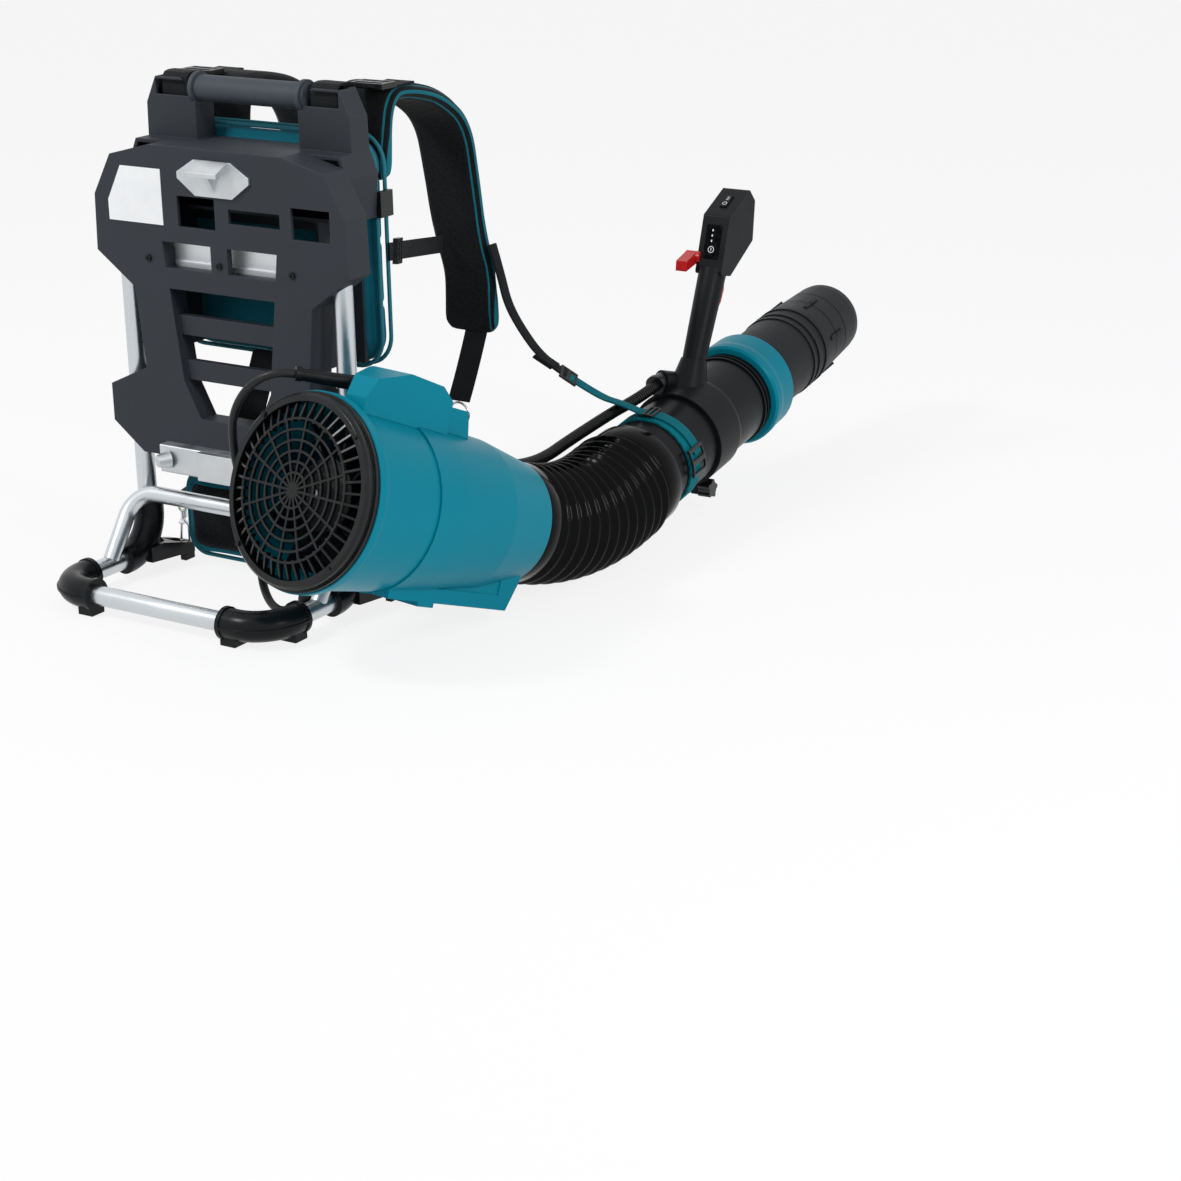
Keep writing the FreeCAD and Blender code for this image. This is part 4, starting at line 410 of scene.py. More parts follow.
def pad_cross_seams(co, normal):
    clear = abs(co.x) > channel_half / 1000 + 0.004 and normal.y > 0.3
    return min(abs(co.z - row / 1000) for row in cross_seams) if clear else 1.0


back_pad = sewn_pad("back_pad_cover", pad_half, pad_low, pad_high, pad_corner, pad_back, pad_thick)
press_seam(back_pad, 4.5, 7.0, pad_channel)
press_seam(back_pad, 2.4, 3.4, pad_cross_seams)
mark(back_pad, "rim", lambda co, n: from_outline(co, pad_half, pad_low, pad_high, pad_corner))
mark(back_pad, "wearer", lambda co, n: 1.0 if n.y > 0.2 else 0.0)
fix(back_pad, pad_cloth, "frame")
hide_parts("back_pad")

piping_rib_mm, piping_radius, piping_depth, piping_inset = 2.4, 2.4, 4.0, 1.8
piping_cloth, shader, place = new_material("teal_bias_piping", "#126E7D", 0.8)
ribs = add(piping_cloth, "TexWave", {"Vector": place, "Scale": 200 * math.pi / piping_rib_mm,
                                      "Distortion": 0.4}, "Fac", bands_direction="DIAGONAL")
finish(piping_cloth, shader, ribs, ("#0D5765", "#1B8292"), relief=(ribs, 0.3, 0.4))
for side, depth in (("rear", pad_back + piping_depth), ("front", pad_back + pad_thick - piping_depth)):
    seam = piping("pad_piping_" + side, pad_half - piping_inset, pad_low + piping_inset,
                  pad_high - piping_inset, pad_corner, depth, piping_radius)
    fix(seam, piping_cloth, "frame")


# Waist pad
# The same sewn foam as the back pad, black spacer mesh on both faces inside a border of
# teal twill, closed by one piped seam.

belt_half, belt_low, belt_high = 126.0, 10.0, 112.0
belt_back, belt_thick, belt_corner = 32.0, 22.0, 24.0
waist_cloth, shader, place = new_material("black_spacer_mesh_with_teal_border", "#15171A", 0.88)
rim = add(waist_cloth, "Attribute", {}, "Fac", attribute_name="rim")
choice = add(waist_cloth, "Math", {0: rim, 1: rim_band_mm / 1000}, operation="GREATER_THAN")
cloth_shader(waist_cloth, shader, place, twill_teal, mesh_black, choice)
waist_pad = sewn_pad("waist_pad_cover", belt_half, belt_low, belt_high, belt_corner, belt_back, belt_thick)
mark(waist_pad, "rim", lambda co, n: from_outline(co, belt_half, belt_low, belt_high, belt_corner))
fix(waist_pad, waist_cloth, "frame")
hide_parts("waist_belt")
waist_inset = 1.2
seam = piping("waist_piping", belt_half - waist_inset, belt_low + waist_inset, belt_high - waist_inset,
              belt_corner, belt_back + belt_thick / 2, piping_radius)
fix(seam, piping_cloth, "frame")


# Shoulder straps
# Curved foam straps in black spacer mesh, sewn to the pad at their roots. A teal binding runs
# round their outer edges, with a thin teal welt on each face beside it.

def add_curve(name, points, resolution):
    # a smooth curve from the first point to the last, which are in millimetres
    curve = bpy.data.curves.new(name, "CURVE")
    curve.dimensions = "3D"
    curve.resolution_u = resolution
    spline = curve.splines.new("NURBS")
    spline.points.add(len(points) - 1)
    for spot, point in zip(spline.points, points):
        spot.co = (*[c / 1000 for c in point], 1)
    spline.order_u = 3
    spline.use_endpoint_u = True
    holder = bpy.data.objects.new(name, curve)
    scene.collection.objects.link(holder)
    return holder


def route_line(points):
    holder = add_curve("route", points, 24)
    line = [v.co.copy() for v in bpy.data.meshes.new_from_object(holder).vertices]
    bpy.data.objects.remove(holder)
    return line


def distances(line):
    run = [0.0]
    for a, b in zip(line, line[1:]):
        run.append(run[-1] + (b - a).length)
    return run


def lay(piece, line, across, square=False):
    run = distances(line)
    headings = [(b - a).normalized() for a, b in zip([line[0]] + line, line[1:] + [line[-1]])]
    headings[0] = (line[1] - line[0]).normalized()
    headings[-1] = (line[-1] - line[-2]).normalized()
    headings[1:-1] = [(c - a).normalized() for a, c in zip(line, line[2:])]
    for vertex in piece.data.vertices:
        x, distance, z = vertex.co
        k = min(max(bisect.bisect(run, distance) - 1, 0), len(run) - 2)
        share = (distance - run[k]) / (run[k + 1] - run[k])
        spot = line[k].lerp(line[k + 1], share)
        heading = headings[k].lerp(headings[k + 1], min(max(share, 0), 1)).normalized()
        side = (across - heading * across.dot(heading)).normalized() if square else across
        up = side.cross(heading).normalized()
        vertex.co = spot + side * x + up * z


strap_middle, strap_width, strap_thick = 98.0, 90.0, 15.0
strap_end_share, taper_start = 0.84, 150.0
binding_mm, welt_mm, welt_half_mm = 4.5, 9.8, 1.1
strap_cloth, shader, place = new_material("black_spacer_mesh_bound_in_teal", "#15171A", 0.88)
rim = add(strap_cloth, "Attribute", {}, "Fac", attribute_name="rim")
inner = add(strap_cloth, "Math", {0: rim, 1: binding_mm / 1000}, operation="GREATER_THAN")
welt = add(strap_cloth, "Math", {0: rim, 1: welt_mm / 1000, 2: welt_half_mm / 1000},
           operation="COMPARE")
choice = add(strap_cloth, "Math", {0: inner, 1: welt}, operation="SUBTRACT")
cloth_shader(strap_cloth, shader, place, ("#11606E", "#1E8797"), mesh_black, choice)
strap_route = ((101.9, 455.0), (108.4, 491.0), (119.0, 549.0), (160.0, 547.5), (214.0, 533.0),
               (262.0, 498.0), (274.0, 436.0), (284.0, 368.0), (306.0, 308.0), (300.0, 244.0))


def taper_strap(co, length, hand):
    # the outer edge stays, the inner edge comes out towards the end
    share = min(max((co.y * 1000 - taper_start) / (length - taper_start), 0.0), 1.0)
    narrow = 1.0 - (1.0 - strap_end_share) * share
    outer = hand * strap_width / 2000
    co.x = outer + (co.x - outer) * narrow


for hand, name in ((1, "right"), (-1, "left")):
    middle = hand * strap_middle
    line = route_line([(middle, y, z) for y, z in strap_route])
    length = distances(line)[-1] * 1000
    strap = foam_block("shoulder_strap_" + name + "_cover", (strap_width - 2, length, strap_thick - 3),
                       (0, length / 2, 0), 18.0, 2, 4.0)
    puff(strap, 4.0, 3.5, 3.0)
    apply_modifier(strap, "SUBSURF", levels=1, render_levels=1)
    bpy.ops.object.shade_smooth()
    side_edge = strap_width / 2000

    def strap_rim(co, normal):
        return abs(side_edge - hand * co.x - welt_mm / 1000) if abs(normal.z) > 0.3 else 1.0

    def strap_inset(co, normal):
        return side_edge - hand * co.x if abs(normal.z) > 0.35 or hand * co.x < 0 else 0.0

    mark(strap, "rim", strap_inset)
    press_seam(strap, 1.2, 1.8, strap_rim)
    for vertex in strap.data.vertices:
        taper_strap(vertex.co, length, hand)
    lay(strap, line, Vector((1, 0, 0)))
    fix(strap, strap_cloth, "frame")
    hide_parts("shoulder_strap_" + name)


# Harness webbing
# Woven nylon tape, ribbed lengthwise with a firm selvedge. The top tapes run from the towers
# over the straps, the side and lower tapes tie the straps to the pad and to the snap hooks.

webbing_thick = 2.4
weft_mm = 2.2
warp_mm = 3.0


def tape_weave(made, spot, weft_way, warp_way):
    weft, warp = (add(made, "TexWave", {"Vector": spot, "Scale": 200 * math.pi / rib}, "Fac",
                      bands_direction=way) for rib, way in ((weft_mm, weft_way), (warp_mm, warp_way)))
    return add(made, "Math", {0: weft, 1: warp}, operation="MULTIPLY")


def tape_material(name, dark, light):
    made, shader, place = new_material(name, dark, 0.78, specular=0.12)
    weave = tape_weave(made, add(made, "UVMap", {}, uv_map="UVMap"), "Y", "X")
    cloud = add(made, "TexNoise", {"Vector": place, "Scale": 60.0, "Detail": 4.0})
    tone = add(made, "Math", {0: weave, 1: cloud}, operation="MULTIPLY")
    finish(made, shader, tone, (dark, light), relief=(weave, 0.4, 0.5))
    shader.inputs["Sheen Weight"].default_value = 0.04
    return made


black_tape = tape_material("black_nylon_webbing", "#131417", "#34373B")
teal_tape = tape_material("teal_nylon_webbing", "#00606C", "#0596A4")


def tape(name, points, across, width, thickness=webbing_thick):
    line = route_line(points)
    length = distances(line)[-1]
    bpy.ops.mesh.primitive_grid_add(x_subdivisions=4, y_subdivisions=max(int(length / 0.006), 2), size=1)
    piece = bpy.context.object
    piece.name = name
    for spot in piece.data.uv_layers.active.data:
        spot.uv = (spot.uv[0] * width / 1000, spot.uv[1] * length)
    for vertex in piece.data.vertices:
        selvedge = 0.15 if abs(vertex.co.x) > 0.49 else 0.0
        vertex.co = (vertex.co.x * width / 1000, (vertex.co.y + 0.5) * length, selvedge / 1000)
    lay(piece, line, across)
    apply_modifier(piece, "SOLIDIFY", thickness=thickness / 1000, offset=0.0)
    apply_modifier(piece, "BEVEL", width=0.0006, segments=2, limit_method="ANGLE")
    smooth(piece)
    return piece


X_WAY = Vector((1, 0, 0))
Y_WAY = Vector((0, 1, 0))
Z_WAY = Vector((0, 0, 1))
top_route = ((103, 45, 520), (103, 43.5, 548), (103, 43, 567), (104, 64, 567.5), (110, 82, 563.5),
             (116, 100, 557), (119, 128, 555.6), (119, 160, 556.6))
side_route = ((148.4, 85.2, 384), (116, 181, 368), (85, 273, 352))
lower_route = ((112, 299.5, 249), (112, 279, 206), (112, 258, 171.4))
hook_route = ((112, 258, 137.5), (130, 160, 104), (148.7, 59.5, 70.6))
belt_route = ((46, 38, 116), (29, 50, 188), (12, 62, 260))
for kind, route, across, width in (("top", top_route, X_WAY, 36.0), ("side", side_route, Z_WAY, 20.0),
                                   ("lower", lower_route, X_WAY, 30.0), ("hook", hook_route, X_WAY, 20.0),
                                   ("belt", belt_route, X_WAY, 36.0)):
    for hand, name in ((1, "right"), (-1, "left")):
        piece = tape(kind + "_tape_" + name, [(hand * x, y, z) for x, y, z in route], across, width)
        fix(piece, black_tape, "frame")
        if kind == "top" and hand == 1:
            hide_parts("harness_webbing")
        if kind == "belt" and hand == 1:
            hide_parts("belt_webbing")


# Buckles, plug and small mouldings
# Acetal, moulded in polished tools: black with a soft gloss, faint flow marks and rounded
# edges. The ladder buckles grip the tapes; the plug and the gland close the leads.

acetal, shader, place = new_material("moulded_acetal", "#101113", 0.3, specular=0.35)
flow = add(acetal, "TexNoise", {"Vector": place, "Scale": 90.0, "Detail": 4.0, "Distortion": 0.8})
finish(acetal, shader, flow, ("#0D0E10", "#17191B"), (0.24, 0.38), edge=0.9)
paint(acetal, "harness_buckles", "clamp_knob", "conduit_gland", "power_plug")


# Blower housing
# Two teal ABS shells and a cover, injection moulded with a satin skin: a clean plastic with
# a soft gloss and a painted highlight, a paler tone, along its edges.

teal_abs, shader, place = new_material("satin_teal_abs", "#007E94", 0.34, specular=0.08)
skin_mm = 0.9
grain = add(teal_abs, "TexNoise", {"Vector": place, "Scale": 1000 / skin_mm, "Detail": 2.0})
cloud = add(teal_abs, "TexNoise", {"Vector": place, "Scale": 7.0, "Detail": 4.0})
# the third tone, #1F97AC, is a painted highlight along the rounded edges
round_edge = paint_edge_highlight(teal_abs, shader, cloud, ("#007A90", "#008399", "#1F97AC"), 1.4, 0.25)
finish(teal_abs, shader, cloud, polish=(0.3, 0.4), relief=(grain, 0.1, 0.2), edge=round_edge)
paint(teal_abs, "housing_rear", "housing_front", "controller_cover", "lock_ring")


# Intake grille
# Black polypropylene, moulded as one thin web of rings, spokes and side slats, screwed into
# the rim. Satin, with the ribs' edges catching the light.

grille_plastic, shader, place = new_material("satin_polypropylene", "#101113", 0.3, specular=0.25)
haze = add(grille_plastic, "TexNoise", {"Vector": place, "Scale": 50.0, "Detail": 4.0})
finish(grille_plastic, shader, haze, ("#0C0D0E", "#17191B"), (0.24, 0.36), edge=0.7)
paint(grille_plastic, "intake_grille", "grille_ring")


# Fan, motor and vanes
# The fan and the vanes are glass-filled nylon, the motor's can is turned aluminium on a
# ground steel shaft. They only show through the grille and the outlet.

fan_nylon, shader, place = new_material("glass_filled_fan_nylon", "#0E0F11", 0.5, specular=0.2)
fibre = add(fan_nylon, "TexNoise", {"Vector": place, "Scale": 500.0, "Detail": 4.0})
finish(fan_nylon, shader, fibre, ("#0A0B0C", "#141618"), relief=(fibre, 0.15, 0.3))
paint(fan_nylon, "fan_rotor", "stator_vanes")

turned_metal, shader, place = new_material("turned_motor_aluminium", "#B9BDC0", 0.34, 1.0)
rings = add(turned_metal, "TexNoise", {"Vector": place, "Scale": 350.0, "Detail": 3.0})
finish(turned_metal, shader, rings, polish=(0.25, 0.45))
paint(turned_metal, "motor_can", "motor_shaft")


# Blower bracket and dampers
# A black painted steel plate clamped to the right-hand tube, with three soft rubber dampers
# that carry the blower.

painted_steel, shader, place = new_material("powder_coated_steel", "#141619", 0.45, specular=0.3)
powder_mm = 1.2
powder = add(painted_steel, "TexNoise", {"Vector": place, "Scale": 1000 / powder_mm, "Detail": 2.0})
finish(painted_steel, shader, powder, polish=(0.38, 0.52), relief=(powder, 0.25, 0.3))
paint(painted_steel, "blower_bracket")
paint(boot_rubber, "dampers", "strain_relief")


# Power cord
# A round black lead of PVC-sheathed cable with a dull sheen. It leaves the housing through
# the rubber sleeve, drops behind the plate and ends in its plug on the ground.

cord_pvc, shader, place = new_material("black_pvc_cord", "#0D0E10", 0.42, specular=0.3)
haze = add(cord_pvc, "TexNoise", {"Vector": place, "Scale": 120.0, "Detail": 4.0})
finish(cord_pvc, shader, haze, ("#0A0B0C", "#131517"), (0.34, 0.5))
cord_points = ((199.6, -135.6, 302.6), (183.5, -152.5, 308.2), (163.0, -163.0, 302.0),
               (141.0, -166.0, 283.0), (124.0, -164.0, 255.0), (118.0, -158.0, 224.0),
               (119.0, -155.0, 198.0), (124.0, -150.0, 170.0), (127.0, -144.0, 140.0),
               (126.0, -138.0, 110.0), (122.0, -131.0, 80.0), (116.0, -120.0, 52.0),
               (111.0, -102.0, 27.0), (109.0, -78.0, 12.6), (108.0, -52.0, 12.6))
cord_diameter = 0.009
cord = add_curve("power_lead", cord_points, 10)
cord.data.bevel_depth = cord_diameter / 2
cord.data.bevel_resolution = 5
cord.data.use_fill_caps = True
cord.data.materials.append(cord_pvc)
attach(cord, "frame")
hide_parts("power_cord")


# Bellows
# A blow-moulded hose of glossy black polyethylene with rounded ribs. It is made in two
# halves that meet at the wire hoop.

gloss_black, shader, place = new_material("glossy_black_polyethylene", "#050506", 0.12, specular=0.08)
haze = add(gloss_black, "TexNoise", {"Vector": place, "Scale": 30.0, "Detail": 5.0})
finish(gloss_black, shader, haze, ("#040405", "#08090A"), (0.09, 0.15))


def ribbed_hose(name, lead, rib, count, tail, sides):
    # a straight hose along Y: lead-in rings, one rib repeated, and closing rings, as
    # (advance, radius) in millimetres
    bpy.ops.mesh.primitive_circle_add(vertices=sides, radius=lead[0][1] / 1000,
                                      rotation=(math.pi / 2, 0, 0))
    hose = bpy.context.object
    hose.name = name
    bpy.ops.object.transform_apply(location=True, rotation=True, scale=True)
    edit_all(hose)
    radius = lead[0][1]
    distance = 0.0
    for advance, new_radius in list(lead[1:]) + list(rib) * count + list(tail):
        bpy.ops.mesh.extrude_region_move(TRANSFORM_OT_translate={"value": (0, advance / 1000, 0)})
        distance += advance
        size = new_radius / radius
        bpy.ops.transform.resize(value=(size, 1, size), center_override=(0, distance / 1000, 0))
        radius = new_radius
    bpy.ops.object.mode_set(mode="OBJECT")
    return hose


def halve(hose, cut):
    # copies the hose and keeps one side of the cut in each
    other = hose.copy()
    other.data = hose.data.copy()
    scene.collection.objects.link(other)
    for piece, near in ((hose, True), (other, False)):
        edit_all(piece)
        bpy.ops.mesh.bisect(plane_co=(0, cut, 0), plane_no=(0, 1, 0), clear_outer=near,
                            clear_inner=not near)
        bpy.ops.object.mode_set(mode="OBJECT")
    return hose, other


def face_outwards(piece):
    edit_all(piece)
    bpy.ops.mesh.normals_make_consistent(inside=False)
    bpy.ops.object.mode_set(mode="OBJECT")


pivot = Vector((0.2975, 0.2212, 0.0685))
fan_axis = Vector((0.15562, 0.92975, -0.333807))
bend = Vector((300.28167, 196.10789, 59.43464))
pipe_axis = Vector((-0.034516, 0.988413, 0.147809))
bend_tangent = 88.0
cuff_place, hose_end = 108.3, 157.0


def bend_line(before, after, steps):
    # a straight run, an arc that touches both axes, and a straight run, in metres
    turn = fan_axis.angle(pipe_axis)
    radius = bend_tangent / math.tan(turn / 2)
    inward = (pipe_axis - fan_axis * fan_axis.dot(pipe_axis)).normalized()
    centre = bend - fan_axis * bend_tangent + inward * radius
    line = [bend - fan_axis * before]
    for k in range(steps + 1):
        angle = turn * k / steps
        line.append(centre - inward * radius * math.cos(angle) + fan_axis * radius * math.sin(angle))
    line.append(bend + pipe_axis * after)
    return [spot / 1000 for spot in line]


hose_line = bend_line(cuff_place, hose_end, 40)
hose_length = distances(hose_line)[-1] * 1000
ribs = 12
rear_cuff, front_cuff = 20.0, 32.0
pitch = (hose_length - rear_cuff - front_cuff) / ribs
rib_shape = []
rib_steps, groove_radius, rib_height, hose_wall = 12, 61.5, 6.5, 2.4
for k in range(1, rib_steps + 1):
    wave = 0.5 - 0.5 * math.cos(2 * math.pi * k / rib_steps)
    rib_shape.append((pitch / rib_steps, groove_radius + rib_height * wave ** 1.3))
hose = ribbed_hose("bellows_rear", [(0, 66.5), (2, 66.9), (15, 66.9), (2, 65.6), (1, groove_radius)],
                   rib_shape, ribs, [(1, 63.0), (1.5, 63.9), (front_cuff - 4.5, 63.9), (2, 63.2)], 96)
rear_half, front_half = halve(hose, hose_length / 2000)
front_half.name = "bellows_front"
bend_side = fan_axis.cross(pipe_axis).normalized()
for piece in (rear_half, front_half):
    lay(piece, hose_line, bend_side, square=True)
    face_outwards(piece)
    apply_modifier(piece, "SOLIDIFY", thickness=hose_wall / 1000, offset=-1.0)
    smooth(piece, 60.0)
    paint(gloss_black, piece)
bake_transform(rear_half)
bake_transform(front_half)
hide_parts("bellows")


# Pipe and nozzle
# Extruded and swaged polypropylene tube: the pipe is black with a soft gloss, the nozzle a
# shade greyer and duller, with rolled beads and moulded bars.

pipe_plastic, shader, place = new_material("black_polypropylene_pipe", "#0E1013", 0.32, specular=0.1)
haze = add(pipe_plastic, "TexNoise", {"Vector": place, "Scale": 25.0, "Detail": 5.0})
finish(pipe_plastic, shader, haze, ("#0C0E11", "#121518"), (0.28, 0.4))
paint(pipe_plastic, "swivel_pipe")

nozzle_plastic, shader, place = new_material("dull_polypropylene_nozzle", "#181A1D", 0.45, specular=0.12)
skin = add(nozzle_plastic, "TexNoise", {"Vector": place, "Scale": 900.0, "Detail": 2.0})
haze = add(nozzle_plastic, "TexNoise", {"Vector": place, "Scale": 20.0, "Detail": 4.0})
finish(nozzle_plastic, shader, haze, ("#15171A", "#1E2124"), (0.4, 0.52), relief=(skin, 0.12, 0.2))
paint(nozzle_plastic, "nozzle")


# Strap round the pipe and support webbing
# Teal tape sewn into a loop round the pipe, and the tape that hangs the pipe from the
# right-hand shoulder strap: black as far as its ladder lock, teal below it.

pipe_tape, shader, place = new_material("teal_tape_round_pipe", "#007883", 0.78, specular=0.12)
weave = tape_weave(pipe_tape, place, "Z", "Y")
finish(pipe_tape, shader, weave, ("#00606C", "#0596A4"), relief=(weave, 0.35, 0.5))
paint(pipe_tape, "pipe_strap")

support_route = ((144.8, 288.8, 355.0), (146.2, 303.5, 315.0), (153.0, 305.9, 281.0),
                 (167.0, 317.6, 246.0), (184.0, 331.8, 214.0), (233.9, 376.5, 163.5),
                 (259.8, 381.1, 159.0), (282.8, 386.3, 150.1))
lock_place = (205.5, 351.1, 192.2)
support_width = 15.0
upper_tape = tape("support_tape_upper", support_route[:5] + (lock_place,), Y_WAY, support_width)
lower_tape = tape("support_tape_lower", (lock_place,) + support_route[5:], Y_WAY, support_width)
paint(black_tape, upper_tape)
paint(teal_tape, lower_tape)
meeting = Vector(lock_place) / 1000
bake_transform(upper_tape)
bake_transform(lower_tape)
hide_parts("support_webbing")


def spread(piece, axis, places):
    # moves the rows of a grid to the given places, in millimetres
    rows = sorted({round(v.co[axis], 4) for v in piece.data.vertices})
    for vertex in piece.data.vertices:
        vertex.co[axis] = places[rows.index(round(vertex.co[axis], 4))] / 1000


def ladder_lock(name, half_width, rows, thickness):
    bpy.ops.mesh.primitive_grid_add(x_subdivisions=3, y_subdivisions=len(rows) - 1, size=1)
    piece = bpy.context.object
    piece.name = name
    spread(piece, 0, (-half_width - 2.4, -half_width, half_width, half_width + 2.4))
    spread(piece, 1, rows)
    windows = (rows[1], rows[3])

    def in_window(face):
        low = min(piece.data.vertices[i].co.y for i in face.vertices) * 1000
        return abs(face.center.x) < 1e-4 and any(abs(low - w) < 0.1 for w in windows)

    edit_chosen(piece, "FACE", in_window)
    bpy.ops.mesh.delete(type="FACE")
    bpy.ops.object.mode_set(mode="OBJECT")
    apply_modifier(piece, "SOLIDIFY", thickness=thickness / 1000, offset=0.0)
    apply_modifier(piece, "BEVEL", width=0.0009, segments=3, limit_method="ANGLE")
    smooth(piece)
    return piece


def put(piece, origin, across, along):
    # turns a piece from its own axes to the given ones; origin in metres
    up = across.cross(along).normalized()
    turn = Matrix((across, along, up)).transposed()
    for vertex in piece.data.vertices:
        vertex.co = origin + turn @ vertex.co


run_down = (Vector(support_route[5]) - Vector(support_route[4])).normalized()
side_way = (Y_WAY - run_down * Y_WAY.dot(run_down)).normalized()
lock_rows, lock_thickness = (-12.0, -8.0, -2.5, 2.5, 8.0, 12.0), 3.6
lock = ladder_lock("support_ladder_lock", support_width / 2 + 0.8, lock_rows, lock_thickness)
put(lock, meeting, side_way, run_down)
fix(lock, acetal, "hoop")
keeper_start = Vector(support_route[4]).lerp(Vector(support_route[5]), -0.12)
keeper_end = Vector(support_route[4]).lerp(Vector(support_route[5]), 0.2)
keeper = tape("support_tape_fold", (keeper_start, keeper_start.lerp(keeper_end, 0.5), keeper_end), Y_WAY,
              support_width + 1.0, 6.0)
fix(keeper, black_tape, "hoop")
pipe_up = (Z_WAY - pipe_axis * Z_WAY.dot(pipe_axis)).normalized()
pipe_right = pipe_axis.cross(pipe_up)
tape_place, tape_radius, buckle_radius = 203.0, 60.4, 61.5


def on_pipe(place, angle, radius):
    # a point beside the pipe, the angle in degrees from its top towards the right, in millimetres
    turn = math.radians(angle)
    return bend + pipe_axis * place + (pipe_up * math.cos(turn) + pipe_right * math.sin(turn)) * radius


tape_end = tape("support_tape_end", [Vector(support_route[-1])] +
                [on_pipe(tape_place + angle / 12, angle, tape_radius) for angle in range(4, 77, 12)],
                pipe_axis, support_width)
fix(tape_end, teal_tape, "pipe")
pipe_locks = (("strap_ladder_buckle", 66.0, 13.2, (0.0, 4.5, 14.5, 20.5, 30.5, 35.0)),
              ("strap_keeper", -3.0, 9.6, (0.0, 2.4, 6.0, 8.4, 12.0, 14.4)))
for name, first_angle, half_width, rows in pipe_locks:
    piece = ladder_lock(name, half_width, rows, 3.4)
    swing = math.degrees(rows[-1] / buckle_radius)
    spots = [on_pipe(tape_place, first_angle + swing * k / 12, buckle_radius + 1.0) / 1000 for k in range(13)]
    lay(piece, spots, pipe_axis)
    fix(piece, acetal, "pipe")
    if name == "strap_ladder_buckle":
        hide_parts("strap_buckles")


# Control handle
# Glass-filled nylon halves, screwed together, satin black with a fine texture. Its lever and
# trigger are red acetal and its buttons black with pale marks.

handle_nylon, shader, place = new_material("satin_black_handle_nylon", "#101215", 0.4, specular=0.1)
grain = add(handle_nylon, "TexNoise", {"Vector": place, "Scale": 1100.0, "Detail": 2.0})
haze = add(handle_nylon, "TexNoise", {"Vector": place, "Scale": 30.0, "Detail": 4.0})
finish(handle_nylon, shader, haze, ("#0F1114", "#181B1E"), (0.34, 0.46),
       relief=(grain, 0.2, 0.2), edge=1.2)
paint(handle_nylon, "control_handle", "handle_collar", "power_button", "top_button")

red_acetal, shader, place = new_material("red_acetal", "#B3161B", 0.28)
flow = add(red_acetal, "TexNoise", {"Vector": place, "Scale": 80.0, "Detail": 3.0})
finish(red_acetal, shader, flow, ("#A81318", "#C21C20"), edge=0.8)
paint(red_acetal, "trigger", "cruise_lever")

panel_gloss, shader, place = new_material("glossy_black_panel_film", "#08090A", 0.12, specular=0.4)
haze = add(panel_gloss, "TexNoise", {"Vector": place, "Scale": 200.0, "Detail": 3.0})
finish(panel_gloss, shader, haze, polish=(0.08, 0.2))
white_print, shader, place = new_material("white_pad_printing", "#E4E7E9", 0.5)
haze = add(white_print, "TexNoise", {"Vector": place, "Scale": 900.0, "Detail": 2.0})
finish(white_print, shader, haze, ("#D6DADC", "#F0F2F3"))
button_height, button_hole, panel_rise = 1.6, 6.4, 9.5
rear_along = Vector((0, 22.5, 68.0)).normalized()
rear_out = X_WAY.cross(rear_along).normalized()
button_middle = Vector((286.5, 550.45, 313.56))
top_along = Vector((0, 49.5, 25.0)).normalized()
top_out = X_WAY.cross(top_along).normalized()
top_middle = Vector((286.5, 588.25, 365.5))


def plate_piece(name, width, height, thickness, corner):
    bpy.ops.mesh.primitive_cube_add(size=1)
    piece = bpy.context.object
    piece.name = name
    for vertex in piece.data.vertices:
        vertex.co = (vertex.co.x * width / 1000, vertex.co.y * height / 1000, vertex.co.z * thickness / 1000)

    def upright(e):
        a, b = (piece.data.vertices[i].co for i in e.vertices)
        return abs(a.z - b.z) > 1e-6

    edit_chosen(piece, "EDGE", upright)
    bpy.ops.mesh.bevel(offset=corner / 1000, segments=4, affect="EDGES")
    bpy.ops.object.mode_set(mode="OBJECT")
    return piece


panel = plate_piece("indicator_panel", 21.0, 42.0, 0.7, 3.0)
bpy.ops.mesh.primitive_cylinder_add(vertices=48, radius=button_hole / 1000, depth=0.01,
                                    location=(0, -panel_rise / 1000, 0))
hole = bpy.context.object
apply_modifier(panel, "BOOLEAN", operation="DIFFERENCE", object=hole, solver="EXACT")
bpy.data.objects.remove(hole)
put(panel, (button_middle + rear_along * panel_rise + rear_out * 0.3) / 1000, X_WAY, rear_along)
smooth(panel, 30.0)
fix(panel, panel_gloss, "handle")


def printed(name, bars, rings, origin, along, body):
    # flat marks: bars as (x, y, width, height) and rings as (x, y, radius, line), millimetres
    made = []
    for x, y, width, height in bars:
        piece = plate_piece("bar", width, height, 0.24, min(width, height) * 0.3)
        for vertex in piece.data.vertices:
            vertex.co += Vector((x, y, 0)) / 1000
        made.append(piece)
    for x, y, radius, line in rings:
        bpy.ops.mesh.primitive_torus_add(major_radius=radius / 1000, minor_radius=line / 2000,
                                         major_segments=36, minor_segments=8)
        piece = bpy.context.object
        for vertex in piece.data.vertices:
            vertex.co = (vertex.co.x + x / 1000, vertex.co.y + y / 1000, vertex.co.z * 0.35)
        made.append(piece)
    bpy.ops.object.select_all(action="DESELECT")
    for piece in made:
        piece.select_set(True)
    bpy.context.view_layer.objects.active = made[0]
    bpy.ops.object.join()
    whole = bpy.context.object
    whole.name = name
    put(whole, origin / 1000, X_WAY, along)
    smooth(whole, 30.0)
    fix(whole, white_print, body)


